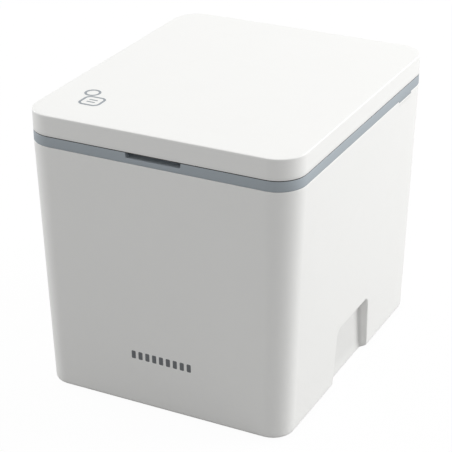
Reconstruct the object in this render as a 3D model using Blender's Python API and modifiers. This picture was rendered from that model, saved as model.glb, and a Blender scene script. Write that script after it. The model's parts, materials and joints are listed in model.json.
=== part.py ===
"""Portable separating toilet: a box-shaped housing with a hinged seat frame and a hinged lid.

Under the seat, a separator leads liquids forward into a capped canister and lets solids fall into a lined
bucket behind it. Everything is in metres, +Z up, front towards -Y. The floor is at z = 0, and the origin is
the middle of the footprint, hinge barrels included.
"""

import math

import bmesh
import bpy
from mathutils import Matrix, Vector

mm = 0.001

# Outer form
body_width = 342 * mm
body_depth = 400 * mm
housing_height = 317 * mm
band_height = 12.2 * mm
lid_height = 25.5 * mm
foot_gap = 2 * mm
corner_radius = 34 * mm
base_corner_radius = 27 * mm
side_draft = 11 * mm
end_draft = 6 * mm
wall = 3 * mm
edge_fillet = 3.5 * mm

# Clearances
touching_gap = 0.3 * mm
lid_seam = 1 * mm
running_gap = 0.5 * mm
locating_gap = 1 * mm

# Hinges, whose barrels stand behind the rear face
hinge_offset = 5 * mm
barrel_radius = 4.2 * mm
pin_radius = 2 * mm
seat_hinge_station = 121 * mm
lid_hinge_station = 75 * mm
centre_knuckle = 11 * mm
lid_centre_knuckle = 17 * mm
side_knuckle = 7 * mm
arm_reach = 7.5 * mm
arm_gap = 1.1 * mm
arm_embed = 1.5 * mm

# Gripping recesses in the sides, open at the bottom
recess_top_half = 51 * mm
recess_base_half = 56 * mm
recess_height = 76 * mm
recess_depth = 9 * mm
recess_wall_run = 11 * mm
recess_corner = 7 * mm

# Rim details
ledge_width = 7 * mm
ledge_drop = 5 * mm
ledge_thickness = 3 * mm
tongue_length = 39 * mm
tongue_drop = 2.3 * mm
tongue_from_centre = 125.5 * mm
slot_half_width = 34.7 * mm
slot_height = 6 * mm
slot_depth = 12 * mm

# Seat frame and seat
frame_bar = 14 * mm
frame_skirt = 3 * mm
skirt_drop = 14 * mm
deck_thickness = 3 * mm
deck_margin = 14 * mm
seat_inset = 9 * mm
seat_height = 11.5 * mm
seat_crown = 2 * mm
seat_wall = 3 * mm
opening_half_x = 110 * mm
opening_half_y = 140 * mm
opening_fullness = 2.6
rebate_width = 6.5 * mm
rebate_depth = 2.8 * mm
screw_boss_radius = 4.5 * mm

# Separator
separator_wall = 2.5 * mm
plate_thickness = 2.3 * mm
bowl_margin = 15 * mm
funnel_length = 102 * mm
funnel_depth = 55 * mm
spout_radius = 14 * mm
spout_length = 24 * mm
chute_narrowing = 9 * mm
chute_depth = 57 * mm
divider_width = 10 * mm

# Canister and bucket
container_clearance = 5 * mm
container_gap = 14 * mm
rail_height = 5 * mm
rail_half_length = 80 * mm
fence_height = 15 * mm
fence_half_length = 105 * mm
rib_thickness = 3 * mm
canister_depth = 120 * mm
canister_shoulder = 206 * mm
canister_corner = 26 * mm
canister_wall = 2.5 * mm
shoulder_rise = 10 * mm
neck_radius = 27 * mm
neck_behind_middle = 14 * mm
neck_height = 18 * mm
cap_radius = 33 * mm
cap_height = 20 * mm
cap_liner_thickness = 1.4 * mm
handle_radius = 5.5 * mm
handle_span = 62 * mm
handle_rise = 56 * mm
bucket_width = 236 * mm
bucket_height = 277 * mm
bucket_corner = 45 * mm
bucket_taper = 16 * mm
bucket_wall = 2.5 * mm
bucket_rim = 6 * mm
bail_radius = 2.2 * mm
bail_standoff = 9 * mm
bail_drop = 14 * mm
ring_thickness = 2 * mm

# Screws that hold the seat
screw_radius = 1.6 * mm
screw_head_radius = 3.6 * mm
screw_head_height = 2.4 * mm
screw_hole_radius = 2.2 * mm
pilot_radius = 1.9 * mm
screw_from_bar = 34 * mm

# Lid
seal_width = 5 * mm
seal_height = 4.8 * mm
lid_rib_height = 5 * mm
lid_rib_share = 0.33

# Feet
foot_bulb = 1.2 * mm
foot_radius = 12 * mm
foot_stem = 4 * mm
foot_from_side = 38 * mm
foot_from_end = 38 * mm

# Levels and places worked out from the sizes above
base_z = foot_gap
floor_z = base_z + wall
rim_z = base_z + housing_height
band_z = rim_z + touching_gap
deck_z = band_z + band_height
lid_z = deck_z + lid_seam
top_z = lid_z + lid_height
centre_y = -(hinge_offset + barrel_radius) / 2
front_y = centre_y - body_depth / 2
rear_y = centre_y + body_depth / 2
hinge_y = rear_y + hinge_offset
seat_axis_z = rim_z - running_gap
lid_axis_z = (deck_z + lid_z) / 2
ledge_z = rim_z - ledge_drop
seat_z = deck_z + touching_gap
seat_top_z = seat_z + seat_height
rebate_z = seat_top_z - rebate_depth
plate_top_z = rebate_z + touching_gap + plate_thickness
container_z = floor_z + rail_height + touching_gap
shoulder_z = container_z + canister_shoulder
neck_z = shoulder_z + shoulder_rise
mouth_z = neck_z + neck_height
bucket_top_z = container_z + bucket_height

ring_steps = 8


# ---- Sections and lofts


def rounded_ring(half_x, half_y, radius, z, middle_y=centre_y):
    """A rounded rectangle as a ring of points, anticlockwise from the front right corner."""
    radius = max(min(radius, half_x, half_y), 0.2 * mm)
    points = []
    for quarter, (side_x, side_y) in enumerate(((1, -1), (1, 1), (-1, 1), (-1, -1))):
        for step in range(ring_steps + 1):
            angle = math.radians(90 * (quarter - 1 + step / ring_steps))
            x = side_x * (half_x - radius) + radius * math.cos(angle)
            y = side_y * (half_y - radius) + radius * math.sin(angle)
            points.append((x, middle_y + y, z))
    return points


def oval_ring(half_x, half_y, z, middle_y=centre_y, fullness=2.0):
    """An oval with as many points as a rounded ring, fuller towards its corners where fullness is over 2."""
    count = 4 * (ring_steps + 1)
    points = []
    for step in range(count):
        angle = math.radians(-90 + 360 * (step + 0.5) / count)
        x, y = math.cos(angle), math.sin(angle)
        x = math.copysign(abs(x) ** (2 / fullness), x)
        y = math.copysign(abs(y) ** (2 / fullness), y)
        points.append((half_x * x, middle_y + half_y * y, z))
    return points


def opening_ring(outset, z):
    """A ring round the seat's opening, moved outwards."""
    return oval_ring(opening_half_x + outset, opening_half_y + outset, z, centre_y, opening_fullness)


def between(first, last, share, z):
    """The ring part of the way from one ring to another, at height z."""
    return [(a[0] + share * (b[0] - a[0]), a[1] + share * (b[1] - a[1]), z) for a, b in zip(first, last)]


def housing_size(inset, z):
    """Half width, half depth and corner radius of the drafted outer form at a height, moved inwards."""
    share = min(max((z - base_z) / housing_height, 0), 1)
    narrow = 1 - share
    radius = base_corner_radius + share * (corner_radius - base_corner_radius)
    return (
        body_width / 2 - side_draft * narrow - inset,
        body_depth / 2 - end_draft * narrow - inset,
        radius - inset,
    )


def housing_rings(profile):
    """Rings that follow the outer form, one for each (inset, height)."""
    return [rounded_ring(*housing_size(inset, z), z) for inset, z in profile]


def quarter_turn(inset, z, radius, start, end, steps=4):
    """Profile points along an arc about (inset, z), in degrees from inwards, anticlockwise."""
    angles = [math.radians(start + (end - start) * step / steps) for step in range(steps + 1)]
    return [(inset + radius * math.cos(a), z + radius * math.sin(a)) for a in angles]


def loft(name, rings, collection, closed=False):
    """A solid skin through rings of equally many points: capped at both ends, or closed into a loop."""
    mesh = bpy.data.meshes.new(name)
    build = bmesh.new()
    rows = [[build.verts.new(point) for point in ring] for ring in rings]
    pairs = list(zip(rows, rows[1:]))
    if closed:
        pairs.append((rows[-1], rows[0]))
    else:
        build.faces.new(rows[0])
        build.faces.new(rows[-1])
    count = len(rows[0])
    for lower, upper in pairs:
        for i in range(count):
            j = (i + 1) % count
            build.faces.new((lower[i], lower[j], upper[j], upper[i]))
    bmesh.ops.recalc_face_normals(build, faces=build.faces)
    build.to_mesh(mesh)
    build.free()
    obj = bpy.data.objects.new(name, mesh)
    collection.objects.link(obj)
    return obj


def box(name, low, high, collection):
    """A plain box between two corners, from Blender's cube."""
    mesh = bpy.data.meshes.new(name)
    build = bmesh.new()
    bmesh.ops.create_cube(build, size=1)
    size = [h - l for l, h in zip(low, high)]
    middle = [(l + h) / 2 for l, h in zip(low, high)]
    bmesh.ops.scale(build, vec=size, verts=build.verts)
    bmesh.ops.translate(build, vec=middle, verts=build.verts)
    build.to_mesh(mesh)
    build.free()
    obj = bpy.data.objects.new(name, mesh)
    collection.objects.link(obj)
    return obj


def rod(name, radius, start, end, collection, segments=20):
    """A cylinder from one point to another."""
    start, end = Vector(start), Vector(end)
    mesh = bpy.data.meshes.new(name)
    build = bmesh.new()
    length = (end - start).length
    sizes = {"segments": segments, "radius1": radius, "radius2": radius, "depth": length}
    bmesh.ops.create_cone(build, cap_ends=True, **sizes)
    turn = (end - start).to_track_quat("Z", "Y").to_matrix().to_4x4()
    bmesh.ops.transform(build, matrix=Matrix.Translation((start + end) / 2) @ turn, verts=build.verts)
    build.to_mesh(mesh)
    build.free()
    obj = bpy.data.objects.new(name, mesh)
    collection.objects.link(obj)
    return obj


def turned(name, profile, place, collection, steps=24):
    """A round solid about the vertical axis at a place, from a profile of (radius, height), top to bottom."""
    mesh = bpy.data.meshes.new(name)
    edges = [(i, i + 1) for i in range(len(profile) - 1)]
    mesh.from_pydata([(radius, 0, z) for radius, z in profile], edges, [])
    obj = bpy.data.objects.new(name, mesh)
    obj.location = place
    collection.objects.link(obj)
    screw = obj.modifiers.new("turn", "SCREW")
    screw.steps = screw.render_steps = steps
    screw.use_merge_vertices = True
    screw.merge_threshold = 0.01 * mm
    screw.use_smooth_shade = False
    return obj


def tube(name, points, radius, collection):
    """A round bar along a smooth line through points, with filled ends."""
    data = bpy.data.curves.new(name, "CURVE")
    data.dimensions = "3D"
    data.bevel_depth = radius
    data.bevel_resolution = 2
    data.use_fill_caps = True
    line = data.splines.new("POLY")
    line.points.add(len(points) - 1)
    for place, point in zip(line.points, points):
        place.co = (*point, 1)
    obj = bpy.data.objects.new(name, data)
    collection.objects.link(obj)
    return obj


def as_mesh(obj, collection):
    """The same shape as a closed mesh, which Booleans need."""
    name = obj.name
    bpy.context.view_layer.update()
    evaluated = obj.evaluated_get(bpy.context.evaluated_depsgraph_get())
    mesh = bpy.data.meshes.new_from_object(evaluated)
    build = bmesh.new()
    build.from_mesh(mesh)
    bmesh.ops.remove_doubles(build, verts=build.verts, dist=0.01 * mm)
    bmesh.ops.recalc_face_normals(build, faces=build.faces)
    build.to_mesh(mesh)
    build.free()
    place = obj.matrix_world.copy()
    bpy.data.objects.remove(obj)
    made = bpy.data.objects.new(name, mesh)
    made.matrix_world = place
    collection.objects.link(made)
    return made


def change(obj, helper, operation):
    """Joins a helper shape to an object, or cuts it out, and hides the helper."""
    modifier = obj.modifiers.new(helper.name, "BOOLEAN")
    modifier.operation = operation
    modifier.solver = "EXACT"
    modifier.object = helper
    helper.hide_render = True
    helper.display_type = "WIRE"


def join(obj, *helpers):
    """Adds closed helper shapes to an object."""
    for helper in helpers:
        change(obj, helper, "UNION")


def cut(obj, *helpers):
    """Takes closed helper shapes out of an object."""
    for helper in helpers:
        change(obj, helper, "DIFFERENCE")


# ---- Finish


def material(name, colour, roughness, metallic=0.0):
    made = bpy.data.materials.new(name)
    made.use_nodes = True
    shader = made.node_tree.nodes["Principled BSDF"]
    shader.inputs["Base Color"].default_value = (*colour, 1)
    shader.inputs["Roughness"].default_value = roughness
    shader.inputs["Metallic"].default_value = metallic
    made.diffuse_color = (*colour, 1)
    return made


def finish(obj, surface, axis=None, smooth=True):
    """Gives a part its material and shading, and hangs it on the empty at its joint's axis."""
    obj.data.materials.clear()
    obj.data.materials.append(surface)
    if smooth and obj.type == "MESH":
        obj.data.shade_smooth()
        obj.data.set_sharp_from_angle(angle=math.radians(30))
    if axis is not None:
        obj.parent = axis
        obj.matrix_parent_inverse = axis.matrix_world.inverted()
    return obj


def axis_empty(name, place, collection):
    """An empty at a joint's axis, which carries the parts that turn about it."""
    empty = bpy.data.objects.new(name, None)
    empty.location = place
    empty.empty_display_size = 20 * mm
    collection.objects.link(empty)
    bpy.context.view_layer.update()
    return empty


# ---- Hinges


def knuckle(name, start_x, end_x, axis_z, side, collection):
    """One hinge knuckle without its bore. Its arm meets the rear face above (side 1) or below (-1) the axis."""
    first = math.pi - math.asin(arm_gap / barrel_radius)
    last = math.radians(420)
    outline = [(rear_y - arm_embed, axis_z + side * arm_gap)]
    steps = 14
    for step in range(steps + 1):
        angle = first + (last - first) * step / steps
        y = hinge_y + barrel_radius * math.cos(angle)
        z = axis_z + side * barrel_radius * math.sin(angle)
        outline.append((y, z))
    outline.append((rear_y - arm_embed, axis_z + side * arm_reach))
    return loft(name, [[(x, y, z) for y, z in outline] for x in (start_x, end_x)], collection)


def hinge_spans(station, centre_width):
    """X ranges of the middle knuckle and of the two beside it, at a hinge on the +X side."""
    half = centre_width / 2
    inner = (station - half - running_gap - side_knuckle, station - half - running_gap)
    outer = (station + half + running_gap, station + half + running_gap + side_knuckle)
    return (station - half, station + half), (inner, outer)


def add_knuckles(obj, spans, axis_z, side, helpers):
    """Joins knuckles over these X ranges to an object, on both sides, and bores them for the pin."""
    for hand in (-1, 1):
        for number, (low, high) in enumerate(spans):
            ends = sorted((hand * low, hand * high))
            join(obj, knuckle(f"{obj.name}_knuckle", *ends, axis_z, side, helpers))
        bore_ends = [hand * (min(s[0] for s in spans) - 2 * mm), hand * (max(s[1] for s in spans) + 2 * mm)]
        start, end = [(x, hinge_y, axis_z) for x in sorted(bore_ends)]
        cut(obj, rod(f"{obj.name}_bore", pin_radius + touching_gap, start, end, helpers, segments=12))


def make_pins(name, station, centre_width, axis_z, collection):
    """The left and right pin of a hinge, as long as its three knuckles."""
    low = station - centre_width / 2 - running_gap - side_knuckle
    high = station + centre_width / 2 + running_gap + side_knuckle
    pins = []
    for side, hand in (("left", -1), ("right", 1)):
        start, end = sorted((hand * low, hand * high))
        ends = [(start, hinge_y, axis_z), (end, hinge_y, axis_z)]
        pins.append(rod(f"{name}_{side}", pin_radius, *ends, collection, segments=12))
    return pins


# ---- Housing


def side_recess(hand, helpers):
    """The cutter for one gripping recess: its walls slope inwards, and its top corners are round."""

    def section(x, z_top, top_half, base_half):
        corner = []
        for step in range(5):
            angle = math.radians(90 * step / 4)
            run = top_half - recess_corner + recess_corner * math.sin(angle)
            corner.append((run, z_top - recess_corner + recess_corner * math.cos(angle)))
        low = base_z - 5 * mm
        right = corner + [(base_half, low)]
        outline = right + [(-run, z) for run, z in reversed(right)]
        return [(hand * x, centre_y + run, z) for run, z in outline]

    panel_x = body_width / 2 - side_draft - recess_depth
    reach = 20 * mm
    slope = recess_wall_run / recess_depth
    outer_x = panel_x + recess_depth + reach
    spread = reach * slope
    z_top = base_z + recess_height
    inner = section(panel_x, z_top - recess_wall_run / 2, recess_top_half - recess_wall_run,
                    recess_base_half - recess_wall_run)
    outer = section(outer_x, z_top + spread / 2, recess_top_half + spread, recess_base_half + spread)
    return loft("recess_cutter", [inner, outer], helpers)


def recess_backing(hand, helpers):
    """The thickening behind a recess, which keeps the housing's wall whole there."""
    half = recess_base_half + wall
    levels = (base_z + wall / 2, base_z + recess_height + wall)
    rings = []
    for z in levels:
        half_width = housing_size(0, z)[0]
        inner, outer = half_width - recess_depth - wall, half_width - wall / 2
        corners = ((inner, -half), (outer, -half), (outer, half), (inner, half))
        rings.append([(hand * x, centre_y + y, z) for x, y in corners])
    return loft("recess_backing", rings, helpers)


def container_ribs(helpers):
    """Rails that carry the containers, and a fence between them."""
    low = floor_z - wall / 2
    ribs = []
    for middle, half_run in ((canister_middle, canister_depth / 4), (bucket_middle, bucket_depth / 4)):
        for hand in (-1, 1):
            y = middle + hand * half_run
            near = (-rail_half_length, y - rib_thickness / 2, low)
            far = (rail_half_length, y + rib_thickness / 2, floor_z + rail_height)
            ribs.append(box("rail", near, far, helpers))
    fence_y = canister_rear + container_gap / 2
    near = (-fence_half_length, fence_y - rib_thickness / 2, low)
    far = (fence_half_length, fence_y + rib_thickness / 2, floor_z + fence_height)
    return ribs + [box("fence", near, far, helpers)]


def make_housing(parts, helpers, surface):
    """The tub: drafted walls, a floor, a ledge for the seal below its rim, and the fixed hinge knuckles."""
    inner_corner = 4 * mm
    ledge_inset = wall + ledge_width
    profile = [
        (wall + inner_corner, floor_z),
        (wall, floor_z + inner_corner),
        (wall, ledge_z - ledge_thickness - ledge_width),
        (ledge_inset, ledge_z - ledge_thickness),
        (ledge_inset, ledge_z),
        (wall, ledge_z),
        (wall, rim_z),
        (0, rim_z),
    ]
    profile += quarter_turn(edge_fillet, base_z + edge_fillet, edge_fillet, 180, 270)
    housing = loft("housing", housing_rings(profile), parts)
    for hand in (-1, 1):
        join(housing, recess_backing(hand, helpers))
        cut(housing, side_recess(hand, helpers))
        notch = tongue_box(hand, helpers, running_gap)
        cut(housing, notch)
    join(housing, *container_ribs(helpers))
    for x, y in foot_places():
        ends = (x, y, base_z - wall), (x, y, floor_z + wall)
        hole = rod("foot_hole", foot_stem + touching_gap, *ends, helpers)
        cut(housing, hole)
    beside = hinge_spans(seat_hinge_station, centre_knuckle)[1]
    add_knuckles(housing, beside, seat_axis_z, -1, helpers)
    return finish(housing, surface)


def tongue_box(hand, helpers, gap):
    """A side tongue of the seat frame, or with a gap the notch that it drops into."""
    outer = body_width / 2
    low = (outer - wall - (2 * gap), centre_y + tongue_from_centre - tongue_length / 2 - gap)
    high = (outer + (2 * gap), centre_y + tongue_from_centre + tongue_length / 2 + gap)
    bottom = rim_z - tongue_drop - gap
    xs = sorted((hand * low[0], hand * high[0]))
    top = band_z + band_height / 4
    return box("tongue", (xs[0], low[1], bottom), (xs[1], high[1], top), helpers)


def foot_places():
    """Where the four feet stand."""
    half_x, half_y, _ = housing_size(0, base_z)
    x, y = half_x - foot_from_side, half_y - foot_from_end
    return [(sx * x, centre_y + sy * y) for sy in (-1, 1) for sx in (-1, 1)]


def make_feet(parts, surface):
    """Push-in feet: a disc below the floor, a stem through it and a bulb above it."""
    stem_top = floor_z + touching_gap
    bulb = foot_stem + foot_bulb
    profile = [
        (0, stem_top + 3 * mm),
        (foot_stem - 1 * mm, stem_top + 3 * mm),
        (bulb, stem_top + 1 * mm),
        (foot_stem, stem_top),
        (foot_stem, base_z - touching_gap),
        (foot_radius, base_z - touching_gap),
        (foot_radius - 0.6 * mm, 0),
        (0, 0),
    ]
    names = ("foot_front_left", "foot_front_right", "foot_rear_left", "foot_rear_right")
    for name, (x, y) in zip(names, foot_places()):
        finish(turned(name, profile, (x, y, 0), parts), surface)


def make_frame_seal(parts, surface):
    """The soft ring that lies on the housing's ledge, under the seat frame."""
    low, high = ledge_z + touching_gap, band_z - touching_gap
    inner, outer = wall + ledge_width - 1 * mm, wall + touching_gap + 0.7 * mm
    profile = [(outer, low), (inner, low), (inner, high), (outer, high)]
    return finish(loft("frame_seal", housing_rings(profile), parts, closed=True), surface)


# ---- Containers

floor_half_x, floor_half_y, _ = housing_size(wall, floor_z)
canister_half_x = floor_half_x - 3 * container_clearance
canister_front = centre_y - floor_half_y + container_clearance
canister_rear = canister_front + canister_depth
canister_middle = (canister_front + canister_rear) / 2
bucket_front = canister_rear + container_gap
bucket_rear = centre_y + floor_half_y - 4 * container_clearance
bucket_depth = bucket_rear - bucket_front
bucket_middle = (bucket_front + bucket_rear) / 2
spout_y = canister_middle + neck_behind_middle


def canister_ring(inset, z):
    """The canister's outline, drawn in by an inset, at a height."""
    size = (canister_half_x - inset, canister_depth / 2 - inset, canister_corner - inset)
    return rounded_ring(*size, z, canister_middle)


def neck_ring(radius, z):
    """A circle round the canister's neck, with the points of a canister ring."""
    return oval_ring(radius, radius, z, spout_y)


def make_canister(parts, helpers, surface):
    """A blown tank with a round neck under the spout and a moulded handle beside it."""
    round_off = 8 * mm
    t = canister_wall
    low = container_z
    shoulder = [(0.12, 0.35), (0.35, 0.72), (0.66, 0.93)]
    outside = [canister_ring(round_off, low), canister_ring(round_off / 4, low + round_off / 4)]
    outside += [canister_ring(0, low + round_off), canister_ring(0, shoulder_z - round_off)]
    body, neck = canister_ring(round_off / 3, shoulder_z), neck_ring(neck_radius, neck_z)
    outside.append(body)
    outside += [between(body, neck, share, shoulder_z + rise * shoulder_rise) for share, rise in shoulder]
    outside += [neck, neck_ring(neck_radius, mouth_z)]
    inner_body = canister_ring(round_off / 3 + t, shoulder_z - t)
    inner_neck = neck_ring(neck_radius - t, neck_z - t)
    inside = [neck_ring(neck_radius - t, mouth_z), inner_neck]
    for share, rise in reversed(shoulder):
        inside.append(between(inner_body, inner_neck, share, shoulder_z - t + rise * shoulder_rise))
    inside += [inner_body, canister_ring(t, shoulder_z - round_off - t), canister_ring(t, low + round_off)]
    inside.append(canister_ring(round_off, low + t))
    tank = loft("canister_tank", outside + inside, parts)
    join(tank, canister_handle(helpers))
    return finish(tank, surface)


def canister_handle(helpers):
    """The handle's arch, whose feet run into the shoulder."""
    middle_x = (neck_radius + canister_half_x) / 2 + handle_radius
    low = shoulder_z - 3 * canister_wall
    high = low + handle_rise
    bend = 12 * mm
    points = [(middle_x - handle_span / 2, low)]
    for start, turn_x in ((180, -1), (90, 1)):
        for step in range(5):
            angle = math.radians(start - 90 * step / 4)
            x = middle_x + turn_x * (handle_span / 2 - bend) + bend * math.cos(angle)
            points.append((x, high - bend + bend * math.sin(angle)))
    points.append((middle_x + handle_span / 2, low))
    path = [(x, canister_middle, z) for x, z in points]
    return as_mesh(tube("handle_arch", path, handle_radius, helpers), helpers)


def make_cap(parts, surface, soft, axis):
    """The screw cap, and the liner disc inside it that seals on the neck's mouth."""
    top = mouth_z + cap_liner_thickness + 2 * touching_gap + wall
    inner = neck_radius + touching_gap + 0.7 * mm
    profile = [
        (0, top),
        (cap_radius - 1.5 * mm, top),
        (cap_radius, top - 1.5 * mm),
        (cap_radius, top - cap_height),
        (inner, top - cap_height),
        (inner, top - wall),
        (0, top - wall),
    ]
    cap = turned("canister_cap", profile, (0, spout_y, 0), parts, steps=36)
    low = mouth_z + touching_gap
    radius = neck_radius - 0.5 * mm
    disc = [(0, low + cap_liner_thickness), (radius, low + cap_liner_thickness), (radius, low), (0, low)]
    liner = turned("cap_liner", disc, (0, spout_y, 0), parts)
    finish(cap, surface, axis)
    finish(liner, soft)


def bucket_ring(inset, z):
    """The bucket's outline at a height, narrower towards its bottom."""
    share = (z - container_z) / bucket_height
    narrow = bucket_taper * (1 - share)
    half_x, half_y = bucket_width / 2 - narrow - inset, bucket_depth / 2 - narrow - inset
    return rounded_ring(half_x, half_y, bucket_corner - narrow / 2 - inset, z, bucket_middle)


def make_bucket(parts, helpers, surface):
    """A tapered bucket with a rolled rim, and a boss on each side for the bail."""
    t, low, top = bucket_wall, container_z, bucket_top_z
    round_off = 7 * mm
    rim_fall = 7 * mm
    profile = [
        (round_off, low + t),
        (t, low + round_off),
        (t, top),
        (-bucket_rim, top),
        (-bucket_rim, top - rim_fall),
        (t - bucket_rim, top - rim_fall),
        (t - bucket_rim, top - t),
        (0, top - t),
        (0, low + round_off),
        (round_off / 4, low + round_off / 4),
        (round_off, low),
    ]
    bucket = loft("solids_bucket", [bucket_ring(inset, z) for inset, z in profile], parts)
    boss_z = top - bail_drop
    for hand in (-1, 1):
        inner, outer = bucket_width / 2 - t, bucket_width / 2 + bail_standoff - bail_radius - touching_gap
        start, end = (hand * inner, bucket_middle, boss_z), (hand * outer, bucket_middle, boss_z)
        join(bucket, rod("bail_boss", 2 * bail_radius, start, end, helpers))
        hole_start = (hand * (bucket_width / 2 + 1 * mm), bucket_middle, boss_z)
        hole_end = (hand * (outer + t), bucket_middle, boss_z)
        hole_radius = bail_radius + touching_gap
        cut(bucket, rod("bail_hole", hole_radius, hole_start, hole_end, helpers, segments=12))
    return finish(bucket, surface)


def make_bail(parts, surface):
    """The carrying bail, folded back round the bucket under its rim, its ends hooked into the bosses."""
    z = bucket_top_z - bail_drop
    outer_x = bucket_width / 2 + bail_standoff
    corner = bucket_corner + bail_standoff
    rear = bucket_rear + bail_standoff
    half = [(bucket_width / 2 + 2 * mm, bucket_middle), (outer_x - 2 * mm, bucket_middle),
            (outer_x, bucket_middle + 2 * mm)]
    for step in range(9):
        angle = math.radians(90 * step / 8)
        half.append((outer_x - corner + corner * math.cos(angle), rear - corner + corner * math.sin(angle)))
    points = half + [(-x, y) for x, y in reversed(half)]
    bail = as_mesh(tube("bucket_bail", [(x, y, z) for x, y in points], bail_radius, parts), parts)
    return finish(bail, surface)


def make_bag_ring(parts, surface):
    """The ring that holds a liner bag's edge on the bucket's rim."""
    top, gap = bucket_top_z, touching_gap
    outer, inner = -bucket_rim - gap, bucket_wall + gap
    profile = [
        (outer - ring_thickness, top - 2 * ring_thickness),
        (outer - ring_thickness, top + gap + ring_thickness),
        (inner + ring_thickness, top + gap + ring_thickness),
        (inner + ring_thickness, top - 4 * ring_thickness),
        (inner, top - 4 * ring_thickness),
        (inner, top + gap),
        (outer, top + gap),
        (outer, top - 2 * ring_thickness),
    ]
    rings = [bucket_ring(inset, z) for inset, z in profile]
    return finish(loft("bag_ring", rings, parts, closed=True), surface)


# ---- Seat frame, seat and separator


def screw_places():
    """Where the seat's six screws stand."""
    x = (opening_half_x + deck_margin + body_width / 2 - seat_inset) / 2
    y = body_depth / 2 - frame_bar - screw_from_bar
    return [(sx * x, centre_y + sy * y) for sy in (-1, 0, 1) for sx in (-1, 1)]


def make_seat_frame(parts, helpers, surface, axis):
    """The ring between housing and lid: a deck round the opening, a skirt inside the rim and knuckles."""
    skirt_inset = wall + ledge_width + locating_gap
    low_deck = deck_z - deck_thickness
    bevel = 0.6 * mm
    outside = [(bevel, band_z), (0, band_z + bevel), (0, deck_z - bevel), (bevel, deck_z)]
    under = [(frame_bar, low_deck), (frame_bar, band_z - skirt_drop), (skirt_inset, band_z - skirt_drop)]
    under.append((skirt_inset, band_z))
    rings = housing_rings(outside)
    rings += [opening_ring(deck_margin, deck_z), opening_ring(deck_margin, low_deck)]
    rings += housing_rings(under)
    frame = loft("seat_frame", rings, parts, closed=True)
    for hand in (-1, 1):
        join(frame, tongue_box(hand, helpers, 0))
    slot_low = (-slot_half_width, front_y - wall, deck_z - slot_height)
    slot_high = (slot_half_width, front_y + slot_depth, deck_z + wall)
    cut(frame, box("finger_slot", slot_low, slot_high, helpers))
    for x, y in screw_places():
        hole_ends = (x, y, low_deck - wall), (x, y, deck_z + wall)
        cut(frame, rod("screw_hole", screw_hole_radius, *hole_ends, helpers, segments=12))
    centre, _ = hinge_spans(seat_hinge_station, centre_knuckle)
    add_knuckles(frame, [centre], seat_axis_z, 1, helpers)
    _, beside = hinge_spans(lid_hinge_station, lid_centre_knuckle)
    add_knuckles(frame, beside, lid_axis_z, -1, helpers)
    return finish(frame, surface, axis)


def make_seat(parts, helpers, surface, axis):
    """The moulded seat: round at its edge, slightly dished towards the opening, hollow underneath."""
    t = seat_wall
    edge = 5 * mm
    crown_z = seat_top_z + seat_crown
    roof_z = seat_top_z - t
    arc = quarter_turn(seat_inset + edge, crown_z - edge, edge, 180, 90)
    rings = housing_rings([(seat_inset, seat_z)] + arc)
    rim_ring, lip = rings[-1], opening_ring(rebate_width, seat_top_z)
    for share, fall in ((0.3, 0.15), (0.6, 0.5), (0.85, 0.85)):
        rings.append(between(rim_ring, lip, share, crown_z - fall * seat_crown))
    rings += [lip, opening_ring(rebate_width, rebate_z), opening_ring(0, rebate_z), opening_ring(0, seat_z)]
    rings += [opening_ring(t, seat_z), opening_ring(t, rebate_z - t)]
    rings.append(opening_ring(rebate_width + t, rebate_z - t))
    under_rim = housing_rings([(seat_inset + t + edge / 2, roof_z)])[0]
    rings += [between(lip, under_rim, share, roof_z) for share in (0.15, 0.9)]
    rings += housing_rings([(seat_inset + t, roof_z - edge / 2), (seat_inset + t, seat_z)])
    seat = loft("seat", rings, parts, closed=True)
    for x, y in screw_places():
        boss_ends = (x, y, seat_z), (x, y, seat_top_z - t / 2)
        join(seat, rod("screw_boss", screw_boss_radius, *boss_ends, helpers))
        pilot_ends = (x, y, seat_z - t), (x, y, seat_top_z - t)
        cut(seat, rod("pilot_hole", pilot_radius, *pilot_ends, helpers, segments=12))
    return finish(seat, surface, axis)


def make_screws(parts, surface, axis):
    """Screws up through the deck into the seat's bosses."""
    head_top = deck_z - deck_thickness - touching_gap
    tip = seat_top_z - seat_wall - 1 * mm
    chamfer = 1 * mm
    head_bottom = head_top - screw_head_height
    profile = [
        (0, tip),
        (screw_radius - 0.6 * mm, tip),
        (screw_radius, tip - chamfer),
        (screw_radius, head_top),
        (screw_head_radius, head_top),
        (screw_head_radius, head_bottom + chamfer),
        (screw_head_radius - chamfer, head_bottom),
        (0, head_bottom),
    ]
    for number, (x, y) in enumerate(screw_places(), 1):
        finish(turned(f"seat_screw_{number}", profile, (x, y, 0), parts, steps=12), surface, axis)


bowl_half_x = opening_half_x - bowl_margin
chute_length = 2 * (opening_half_y - bowl_margin) - funnel_length - divider_width
funnel_middle = centre_y - opening_half_y + bowl_margin + funnel_length / 2
chute_middle = centre_y + opening_half_y - bowl_margin - chute_length / 2


def funnel_shape(name, outset, top, bottom, helpers):
    """The front bowl, from a wide oval mouth down to the spout: its space, or with an outset its outside."""
    throat = spout_radius - separator_wall
    stages = ((0.02, 0.06), (0.25, 0.5), (0.55, 0.82), (0.8, 0.95), (1, 1))
    rings = [oval_ring(bowl_half_x + outset, funnel_length / 2 + outset, top, funnel_middle)]
    for share, fall in stages:
        half_x = bowl_half_x + share * (throat - bowl_half_x) + outset
        half_y = funnel_length / 2 + share * (throat - funnel_length / 2) + outset
        y = funnel_middle + share * (spout_y - funnel_middle)
        rings.append(oval_ring(half_x, half_y, plate_top_z - fall * funnel_depth - outset, y))
    rings.append(oval_ring(throat + outset, throat + outset, bottom, spout_y))
    return loft(name, rings, helpers)


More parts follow.
